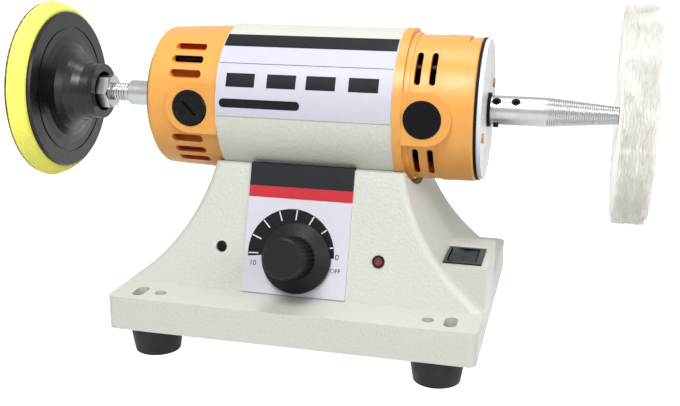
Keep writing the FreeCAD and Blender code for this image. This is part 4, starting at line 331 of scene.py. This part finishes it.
# The looks of the record's material slots
paint("casting_paint", tone(199, 201, 194))
paint("barrel_paint", tone(204, 205, 195))
plastic("cap_plastic", tone(244, 180, 88), 0.36, through=tone(255, 150, 66))
plastic("black_plastic", tone(21, 22, 24), 0.4, shine=0.2)
plastic("gloss_black", tone(13, 14, 15), 0.24, grain=0.006, shine=0.12)
plastic("white_plastic", tone(218, 220, 222), 0.35)
plastic("film", tone(196, 197, 208), 0.42, grain=0.004, shine=0.2, patches=0.2)
plastic("board", tone(40, 96, 62), 0.35)
plastic("board_parts", tone(52, 58, 68), 0.4)
rubber("rubber", tone(26, 27, 26), 0.6)
rubber("carbon", tone(48, 48, 50), 0.55)
metal("zinc_steel", tone(176, 179, 181), 0.27, stretch=(6, 0.25, 0.25))
metal("black_steel", tone(34, 34, 36), 0.4)
metal("lamination", tone(120, 122, 126), 0.4, stretch=(8, 0.3, 0.3))
metal("galvanised_sheet", tone(178, 181, 184), 0.42, stretch=(0.4, 0.4, 1), grain=0.02)
metal("brass", tone(172, 140, 84), 0.34)
metal("copper", tone(190, 112, 74), 0.35, stretch=(1, 4, 4), grain=0.05)
cotton()
foam()
hook_fabric()
dial_enamel()
red_lens()

# Looks of single nodes, and of the print
plastic("rocker", tone(30, 34, 46), 0.45, grain=0.006, shine=0.12)
plastic("backing", tone(14, 15, 17), 0.3, shine=0.38)
plastic("dull_black", tone(17, 17, 19), 0.5, shine=0.08)
plastic("ink", tone(22, 25, 29), 0.45, grain=0.004, shine=0.12)
plastic("mark", tone(226, 227, 232), 0.35, grain=0.004)
NODE_LOOKS = {
    "switch_rocker": "rocker",
    "pad_backing": "backing",
    "side_plugs": "dull_black",
    "right_end_ring": "dull_black",
    "spindle_bush": "dull_black",
    "indicator_lamp": "ink",
}

for entry in frame["record"]["subparts"]:
    materials = frame["nodes"][entry["node"]].data.materials
    materials.clear()
    materials.append(LOOKS[NODE_LOOKS.get(entry["node"], entry["material_slot"])])


# Rounded edges of the CAD nodes: each radius in millimetres, and the nodes that have it

EDGE_RADII = {
    0.9: ["base_casting"],
    0.6: ["foot_front_left", "foot_front_right", "foot_rear_left", "foot_rear_right"],
    0.4: ["pad_backing", "cord_gland"],
    0.35: ["left_end_cap", "right_end_cap"],
    0.3: ["motor_barrel", "brush_caps", "side_plugs", "hex_nut", "switch_rocker", "spindle_bush",
          "bottom_cover"],
    0.25: ["shaft_sleeve", "speed_knob", "switch_housing", "right_end_ring"],
    0.2: ["right_end_disc"],
    0.15: ["dial_plate", "indicator_lamp"],
}
SHARP_ANGLE = math.radians(38)

for edge_radius, nodes in EDGE_RADII.items():
    for node in nodes:
        edge = frame["nodes"][node].modifiers.new("soft_edges", "BEVEL")
        edge.width = edge_radius * MM
        edge.segments = 3
        edge.limit_method = "ANGLE"
        edge.angle_limit = SHARP_ANGLE


# Pieces

def piece(name, points, faces, body, look):
    """A smooth mesh piece that rides on a body."""
    mesh = bpy.data.meshes.new(name)
    mesh.from_pydata([tuple(point) for point in points], [], faces)
    mesh.polygons.foreach_set("use_smooth", [True] * len(mesh.polygons))
    mesh.materials.append(LOOKS[look])
    mesh.update()
    item = bpy.data.objects.new(name, mesh)
    scene.collection.objects.link(item)
    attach(item, body)
    return item


def ring_faces(first, second, around):
    """Quads along a tube between two rings of points, each given by the number of its first point."""
    faces = []
    for step in range(around):
        after = (step + 1) % around
        faces.append((first + step, first + after, second + after, second + step))
    return faces


def grid_faces(columns, rows):
    """Quads of a grid, whose points are numbered up each column in turn."""
    faces = []
    for column in range(columns):
        for row in range(rows):
            corner = column * (rows + 1) + row
            beside = corner + rows + 1
            faces.append((corner, beside, beside + 1, corner + 1))
    return faces


def on_shaft(x, radius, angle):
    """A point about the shaft axis: angle 0 is the front, and it grows upwards."""
    return (x, -radius * math.cos(angle), AXIS + radius * math.sin(angle))


def turned(name, rows, around, look, shaped):
    """A closed surface about the shaft axis, through rows of (x, radius) that shaped alters by angle."""
    points = []
    for number, (x, radius) in enumerate(rows):
        for step in range(around):
            angle = FULL_TURN * step / around
            points.append(on_shaft(*shaped(number, x, radius, angle), angle))
    last_ring = (len(rows) - 1) * around
    faces = []
    for first in range(0, last_ring, around):
        second = first + around
        for step in range(around):
            after = (step + 1) % around
            faces.append((first + step, second + step, second + after, first + after))
    faces.append(tuple(range(around)))
    faces.append(tuple(reversed(range(last_ring, last_ring + around))))
    return piece(name, points, faces, "rotor", look)


# Screw threads on the tapered spindle and on the stud

TAPER_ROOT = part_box("taper_spindle")[0][0] + 27.9 * MM
TAPER_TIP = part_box("taper_spindle")[1][0]
TAPER_ROOT_RADIUS = 7.6 * MM
TAPER_TIP_RADIUS = 2.9 * MM
STUD_RADIUS = 4.8 * MM


def taper_radius(x):
    share = (x - TAPER_ROOT) / (TAPER_TIP - TAPER_ROOT)
    return TAPER_ROOT_RADIUS + (TAPER_TIP_RADIUS - TAPER_ROOT_RADIUS) * share


def thread(name, start, end, start_radius, end_radius, pitch, depth):
    """The ridges of a screw thread, which stand on a plain rod or taper and sink into it at both ends."""
    rows_a_turn = 10
    around = 56
    lift = 0.05 * MM
    sunk = 0.08 * MM
    fade = 1.5 * pitch
    steps = int((end - start) / pitch * rows_a_turn)
    rows = []
    for step in range(steps + 1):
        share = step / steps
        rows.append((start + (end - start) * share, start_radius + (end_radius - start_radius) * share))

    def ridge(number, x, radius, angle):
        turn = (x / pitch - angle / FULL_TURN) % 1
        crest = 1 - abs(turn * 2 - 1)
        shown = max(0, min(1, (x - start) / fade, (end - x) / fade))
        return x, radius + (lift + depth * crest) * shown - sunk * (1 - shown)

    turned(name, rows, around, "zinc_steel", ridge)


def taper_thread():
    """From just past the plain root to just inside the buff."""
    start = TAPER_ROOT + 0.4 * MM
    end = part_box("cotton_buff")[0][0] + 1.4 * MM
    thread("taper_thread", start, end, taper_radius(start), taper_radius(end),
           pitch=1.1 * MM, depth=0.2 * MM)


def stud_thread():
    """Between the nut and the sleeve."""
    gap = 0.1 * MM
    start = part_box("hex_nut")[1][0] + gap
    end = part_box("shaft_sleeve")[0][0] - gap
    thread("stud_thread", start, end, STUD_RADIUS, STUD_RADIUS, pitch=1.5 * MM, depth=0.3 * MM)


taper_thread()
stud_thread()


# Brush springs: wire coils that take the place of the springs' CAD nodes

def brush_spring(side):
    node = "brush_spring_" + side
    low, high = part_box(node)
    middle = (low + high) / 2
    length = high[1] - low[1]
    wire = 0.3 * MM
    coil = (high[0] - low[0]) / 2 - wire
    turns = 5
    steps_a_turn = 28
    steps = turns * steps_a_turn
    around = 10
    points = []
    faces = []
    for step in range(steps + 1):
        turn = FULL_TURN * step / steps_a_turn
        y = low[1] + wire + (length - 2 * wire) * step / steps
        for corner in range(around):
            angle = FULL_TURN * corner / around
            reach = coil + wire * math.cos(angle)
            points.append((middle[0] + reach * math.cos(turn), y + wire * math.sin(angle),
                           middle[2] + reach * math.sin(turn)))
        if step:
            faces += ring_faces((step - 1) * around, step * around, around)
    faces.append(tuple(reversed(range(around))))
    faces.append(tuple(range(steps * around, (steps + 1) * around)))
    item = piece("spring_coil_" + side, points, faces, "housing", "zinc_steel")
    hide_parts(node)
    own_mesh(item)


brush_spring("front")
brush_spring("rear")


# Foam disc of the pad

def foam_disc():
    """It widens from its back to its face, with a swollen slope, soft edges and small dents."""
    low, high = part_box("foam_disc")
    back = high[0]
    face = low[0]
    back_radius = 46.4 * MM
    face_radius = high[2] - AXIS
    around = 240
    centre = 1.0 * MM
    slope_start = back - 0.9 * MM
    slope_end = face + 0.6 * MM
    slope_steps = 12
    slope_bend = 0.85
    swell = 0.5 * MM
    dents_around = 4
    dents_a_metre = 300
    dent_depth = 0.25 * MM
    halfway = back_radius / 2
    rows = [(back, centre), (back, halfway), (back, back_radius - 1.2 * MM),
            (back - 0.4 * MM, back_radius - 0.2 * MM)]
    for step in range(slope_steps + 1):
        share = step / slope_steps
        bent = back_radius + (face_radius - back_radius) * share ** slope_bend
        bulge = math.sin(share * math.pi) * swell * (1 - share)
        rows.append((slope_start + (slope_end - slope_start) * share, bent + bulge))
    rows += [(face + 0.1 * MM, face_radius - 0.3 * MM), (face, face_radius - 1.0 * MM),
             (face, halfway), (face, centre)]

    def worn_edge(number, x, radius, angle):
        if radius <= halfway:
            return x, radius
        spot = Vector((math.cos(angle) * dents_around, math.sin(angle) * dents_around, x * dents_a_metre))
        return x, radius + noise.noise(spot) * dent_depth

    item = turned("foam_pad", rows, around, "foam", worn_edge)
    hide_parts("foam_disc")


foam_disc()


# Cotton buff: plies that part at the rim, and threads that have frayed from them

BUFF_LOW, BUFF_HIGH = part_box("cotton_buff")
BUFF_LEFT = BUFF_LOW[0]
BUFF_RIGHT = BUFF_HIGH[0]
BUFF_RIM = BUFF_HIGH[2] - AXIS
PLIES = 11

# A ply's edge: places across its thickness, and how far below the rim each one lies, in millimetres
PLY_EDGE = ((0.06, 1.1), (0.2, 0.5), (0.36, 0.1), (0.64, 0.1), (0.8, 0.5), (0.94, 1.1))

# Sway of the whole buff: waves round it, their layer of noise, and height in millimetres
SWAYS = ((1.6, 3, 1.3), (6, 0, 1.1))

# Tears in the rim: waves round it, how far the layer moves from ply to ply, and height in millimetres
TEARS = ((5, 0.2, 3.6), (16, 0.9, 1.2), (60, 5.7, 0.4))


def waves(spot, count, layer=0.0):
    """Noise at a spot on a circle, whose waves shrink as count grows. Each layer has its own pattern."""
    return noise.noise(spot * count + Vector((0, 0, layer)))


def buff_plies():
    dish = 2.0 * MM
    lip = 1.0 * MM
    bore_gap = 0.3 * MM
    side_steps = 26
    dish_steps = 9
    shoulder = BUFF_RIM - 5.2 * MM
    lowest_rim = shoulder + 0.6 * MM
    highest_tear = 0.9 * MM
    trim = 1.0 * MM
    stitch_spacing = 5.5 * MM
    stitch_depth = 0.18 * MM
    ripple_height = 0.4 * MM
    ripples = 12
    ripple_layer = 9
    rim_waves = 9
    rim_wave_height = 0.6 * MM
    side_gap = 0.1 * MM
    around = 540
    thick = (BUFF_RIGHT - BUFF_LEFT) / PLIES

    def side_rows(edge, inward):
        """One side, from the bore to the rim, dished near the bore."""
        bore = taper_radius(edge) + bore_gap
        rows = [(edge + inward * dish, bore), (edge + inward * dish, bore + lip)]
        for step in range(1, side_steps + 1):
            sunk = dish * (1 - min(1, step / dish_steps))
            rows.append((edge + inward * sunk, bore + lip + (shoulder - bore) * step / side_steps))
        return rows

    rows = side_rows(BUFF_LEFT, 1)
    first_rim = len(rows)
    for ply in range(PLIES):
        for place, drop in PLY_EDGE:
            rows.append((BUFF_LEFT + thick * (ply + place), BUFF_RIM - trim - drop * MM))
    last_rim = len(rows)
    rows += reversed(side_rows(BUFF_RIGHT, -1))

    def ragged(number, x, radius, angle):
        """Sway all plies together, tear each one's rim, and stitch and ripple both sides."""
        spot = Vector((math.cos(angle), math.sin(angle), 0))
        reach = (radius / BUFF_RIM) ** 2
        x += sum(waves(spot, count, layer) * height * MM for count, layer, height in SWAYS) * reach
        if first_rim <= number < last_rim:
            ply = (number - first_rim) // len(PLY_EDGE)
            tear = sum(waves(spot, count, ply * change) * height * MM for count, change, height in TEARS)
            radius = max(radius + min(tear, highest_tear) - trim, lowest_rim)
            x += waves(spot, rim_waves) * rim_wave_height
        else:
            outward = 1 if number < first_rim else -1
            stitch = math.sin(radius / stitch_spacing * FULL_TURN)
            ripple = waves(spot, ripples * radius / BUFF_RIM, ripple_layer)
            x += outward * (stitch_depth * stitch + ripple_height * ripple) * reach
        return max(BUFF_LEFT + side_gap, min(BUFF_RIGHT - side_gap, x)), radius

    item = turned("buff_plies", rows, around, "cotton", ragged)
    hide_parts("cotton_buff")


def buff_frays():
    """Short threads that stand out of the rim, bend over and thin out."""
    chance = random.Random(11)
    threads = 6000
    edge_gap = 0.4 * MM
    thread_radius = 0.09 * MM
    thinning = 0.6
    droop = 0.25
    rings = 5
    corners = 3
    points = []
    faces = []
    for _ in range(threads):
        angle = chance.uniform(0, FULL_TURN)
        x = chance.uniform(BUFF_LEFT + edge_gap, BUFF_RIGHT - edge_gap)
        root = BUFF_RIM - chance.uniform(3.5 * MM, 6.0 * MM)
        lean = chance.uniform(-2.2, 2.2)
        drift = chance.uniform(-0.7, 0.7)
        length = chance.uniform(2.8 * MM, 6.6 * MM)
        for ring in range(rings):
            share = ring / (rings - 1)
            out = length * share * (1 - droop * share * abs(lean))
            bent = length * share ** 2
            spot = on_shaft(max(BUFF_LEFT, min(BUFF_RIGHT, x + drift * bent)), min(root + out, BUFF_RIM),
                            angle + 2 * lean * bent / BUFF_RIM)
            radius = thread_radius * (1 - thinning * share)
            for corner in range(corners):
                bend = FULL_TURN * corner / corners
                side = radius * math.sin(bend)
                points.append((spot[0] + radius * math.cos(bend), spot[1] + side * math.sin(angle),
                               spot[2] + side * math.cos(angle)))
            if ring:
                newest = len(points) - corners
                faces += ring_faces(newest - corners, newest, corners)
    item = piece("buff_frays", points, faces, "rotor", "cotton")


buff_plies()
buff_frays()


# Print on the film round the barrel: a band, a line, four boxes and a pill

FILM_LOW, FILM_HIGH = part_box("rating_plate")
FILM_LENGTH = (FILM_HIGH[0] - FILM_LOW[0]) / MM
FILM_RADIUS = 40.83 * MM
PRINT_LIFT = 0.04 * MM
MARGIN = 0.3
BOX_STARTS = (5.2, 27.0, 47.6, 69.6)
BOX_LENGTH = 15.3


def patch(name, left, right, low, high, corner=0.0):
    """A printed shape: left, right and corner in millimetres, low and high in degrees round the barrel."""
    corner_steps = 8
    rows = 8
    columns = [left, right]
    if corner:
        bends = [math.pi / 2 * step / corner_steps for step in range(corner_steps + 1)]
        insets = [corner * (1 - math.cos(bend)) for bend in bends]
        columns = [left + inset for inset in insets] + [right - inset for inset in reversed(insets)]
    half = math.radians(high - low) / 2
    middle = math.radians(high + low) / 2
    points = []
    for x in columns:
        near = min(x - left, right - x)
        trim = 0
        if near < corner:
            trim = (corner - math.sqrt(corner ** 2 - (corner - near) ** 2)) * MM / FILM_RADIUS
        for row in range(rows + 1):
            angle = middle + (half - trim) * (row / rows * 2 - 1)
            points.append(on_shaft(FILM_LOW[0] + x * MM, FILM_RADIUS + PRINT_LIFT, angle))
    item = piece(name, points, grid_faces(len(columns) - 1, rows), "housing", "ink")


patch("film_band", MARGIN, FILM_LENGTH - MARGIN, low=50, high=63.6)
patch("film_line", MARGIN, FILM_LENGTH - MARGIN, low=34.8, high=35.2)
for number, start in enumerate(BOX_STARTS):
    patch("film_box_%d" % number, start, start + BOX_LENGTH, low=17.1, high=27.3)
patch("film_pill", 2.0, 45.0, low=2.2, high=8.6, corner=2.2)


# Print on the dial plate, in millimetres from the knob's centre along the face

SCALE_ACROSS = -3.45
SCALE_UP = 2.0
PRINT_OUT = 1.03
MARK_OUT = 1.05


def on_face(across, up, out):
    return FACE_SPOT + Vector((across, 0, 0)) * MM + FACE_UP * (up * MM) + FACE_OUT * (out * MM)


def scale_band():
    """The dark arc that the marks stand on. Angles start at the right and grow anticlockwise."""
    inner = 14.0
    outer = 23.2
    start = -2
    sweep = 189
    steps = 60
    points = []
    for step in range(steps + 1):
        angle = math.radians(start + sweep * step / steps)
        for radius in (outer, inner):
            points.append(on_face(SCALE_ACROSS + radius * math.cos(angle),
                                  SCALE_UP + radius * math.sin(angle), PRINT_OUT))
    item = piece("dial_scale", points, grid_faces(steps, 1), "housing", "ink")


def scale_marks():
    inner = 17.6
    outer = 22.8
    half_width = 0.3
    outline = ((inner, -half_width), (outer, -half_width), (outer, half_width), (inner, half_width))
    marks = 8
    first_angle = 183
    spacing = 24.4
    points = []
    faces = []
    for mark in range(marks):
        angle = math.radians(first_angle - mark * spacing)
        along_x = math.cos(angle)
        along_y = math.sin(angle)
        first = len(points)
        for radius, side in outline:
            points.append(on_face(SCALE_ACROSS + radius * along_x - side * along_y,
                                  SCALE_UP + radius * along_y + side * along_x, MARK_OUT))
        faces.append(tuple(range(first, first + len(outline))))
    item = piece("dial_marks", points, faces, "housing", "mark")


def lettering(name, words, across, up, height):
    data = bpy.data.curves.new(name, "FONT")
    data.body = words
    data.size = height * MM
    data.align_x = "CENTER"
    data.align_y = "CENTER"
    data.extrude = 0.01 * MM
    data.materials.append(LOOKS["ink"])
    item = bpy.data.objects.new(name, data)
    scene.collection.objects.link(item)
    facing = Matrix((Vector((1, 0, 0)), FACE_UP, FACE_OUT)).transposed().to_4x4()
    item.matrix_world = Matrix.Translation(on_face(across, up, PRINT_OUT)) @ facing
    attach(item, "housing")


scale_band()
scale_marks()
lettering("dial_number_low", "0", across=21.3, up=2.0, height=4.2)
lettering("dial_number_high", "10", across=-23.6, up=-4.4, height=3.8)
lettering("dial_word_off", "OFF", across=20.9, up=-5.1, height=3.2)


# Floor, world and lights

WORLD_LIGHT = 0.22
FLOOR_COLOUR = (0.6, 0.6, 0.6, 1)
FLOOR_GLOW = 0.88
FLOOR_REACH = 6.0


def highest(tree, one, other):
    """The higher of two values."""
    node = tree.nodes.new("ShaderNodeMath")
    node.operation = "MAXIMUM"
    tree.links.new(one, node.inputs[0])
    tree.links.new(other, node.inputs[1])
    return node.outputs["Value"]


def backdrop_mix(tree, lit, shown, out):
    """Light the object by the lit shader, and give the camera, reflections and glass the shown one."""
    path = tree.nodes.new("ShaderNodeLightPath")
    seen = highest(tree, path.outputs["Is Camera Ray"], path.outputs["Is Glossy Ray"])
    seen = highest(tree, seen, path.outputs["Is Transmission Ray"])
    mix = tree.nodes.new("ShaderNodeMixShader")
    tree.links.new(seen, mix.inputs["Fac"])
    tree.links.new(lit, mix.inputs[1])
    tree.links.new(shown, mix.inputs[2])
    tree.links.new(mix.outputs["Shader"], out)


def add_world():
    world = bpy.data.worlds.new("studio")
    scene.world = world
    world.use_nodes = True
    tree = world.node_tree
    lit = tree.nodes["Background"]
    lit.inputs["Color"].default_value = WHITE
    lit.inputs["Strength"].default_value = WORLD_LIGHT
    shown = tree.nodes.new("ShaderNodeBackground")
    shown.inputs["Color"].default_value = WHITE
    shown.inputs["Strength"].default_value = 1.0
    backdrop_mix(tree, lit.outputs["Background"], shown.outputs["Background"],
                 tree.nodes["World Output"].inputs["Surface"])


def add_floor():
    """A pale floor that the camera sees as nearly white, apart from the object's shadow."""
    mesh = bpy.data.meshes.new("floor")
    corners = [(x * FLOOR_REACH, y * FLOOR_REACH, 0) for x, y in ((-1, -1), (1, -1), (1, 1), (-1, 1))]
    mesh.from_pydata(corners, [], [(0, 1, 2, 3)])
    floor = bpy.data.objects.new("floor", mesh)
    scene.collection.objects.link(floor)
    material = bpy.data.materials.new("floor")
    material.use_nodes = True
    tree = material.node_tree
    shaded = tree.nodes["Principled BSDF"]
    shaded.inputs["Base Color"].default_value = FLOOR_COLOUR
    shaded.inputs["Roughness"].default_value = 0.9
    shaded.inputs["Specular IOR Level"].default_value = 0.0
    glow = tree.nodes.new("ShaderNodeEmission")
    glow.inputs["Strength"].default_value = FLOOR_GLOW
    both = tree.nodes.new("ShaderNodeAddShader")
    tree.links.new(shaded.outputs["BSDF"], both.inputs[0])
    tree.links.new(glow.outputs["Emission"], both.inputs[1])
    backdrop_mix(tree, shaded.outputs["BSDF"], both.outputs["Shader"],
                 tree.nodes["Material Output"].inputs["Surface"])
    mesh.materials.append(material)


def add_lamp(name, place, aim, size, power):
    data = bpy.data.lights.new(name, "AREA")
    data.shape = "DISK"
    data.size = size
    data.energy = power
    lamp = bpy.data.objects.new(name, data)
    scene.collection.objects.link(lamp)
    lamp.location = place
    lamp.rotation_euler = (Vector(aim) - Vector(place)).to_track_quat("-Z", "Y").to_euler()


add_world()
add_floor()
add_lamp("key", place=(-0.1, -0.9, 1.15), aim=(0, 0, 0.1), size=0.6, power=15.5)
add_lamp("fill", place=(1.15, -0.75, 0.7), aim=(0.05, 0, 0.1), size=0.8, power=8.0)
add_lamp("top", place=(0.05, 0.15, 1.45), aim=(0, 0, 0.1), size=0.6, power=6.5)

scene.view_settings.view_transform = "Standard"
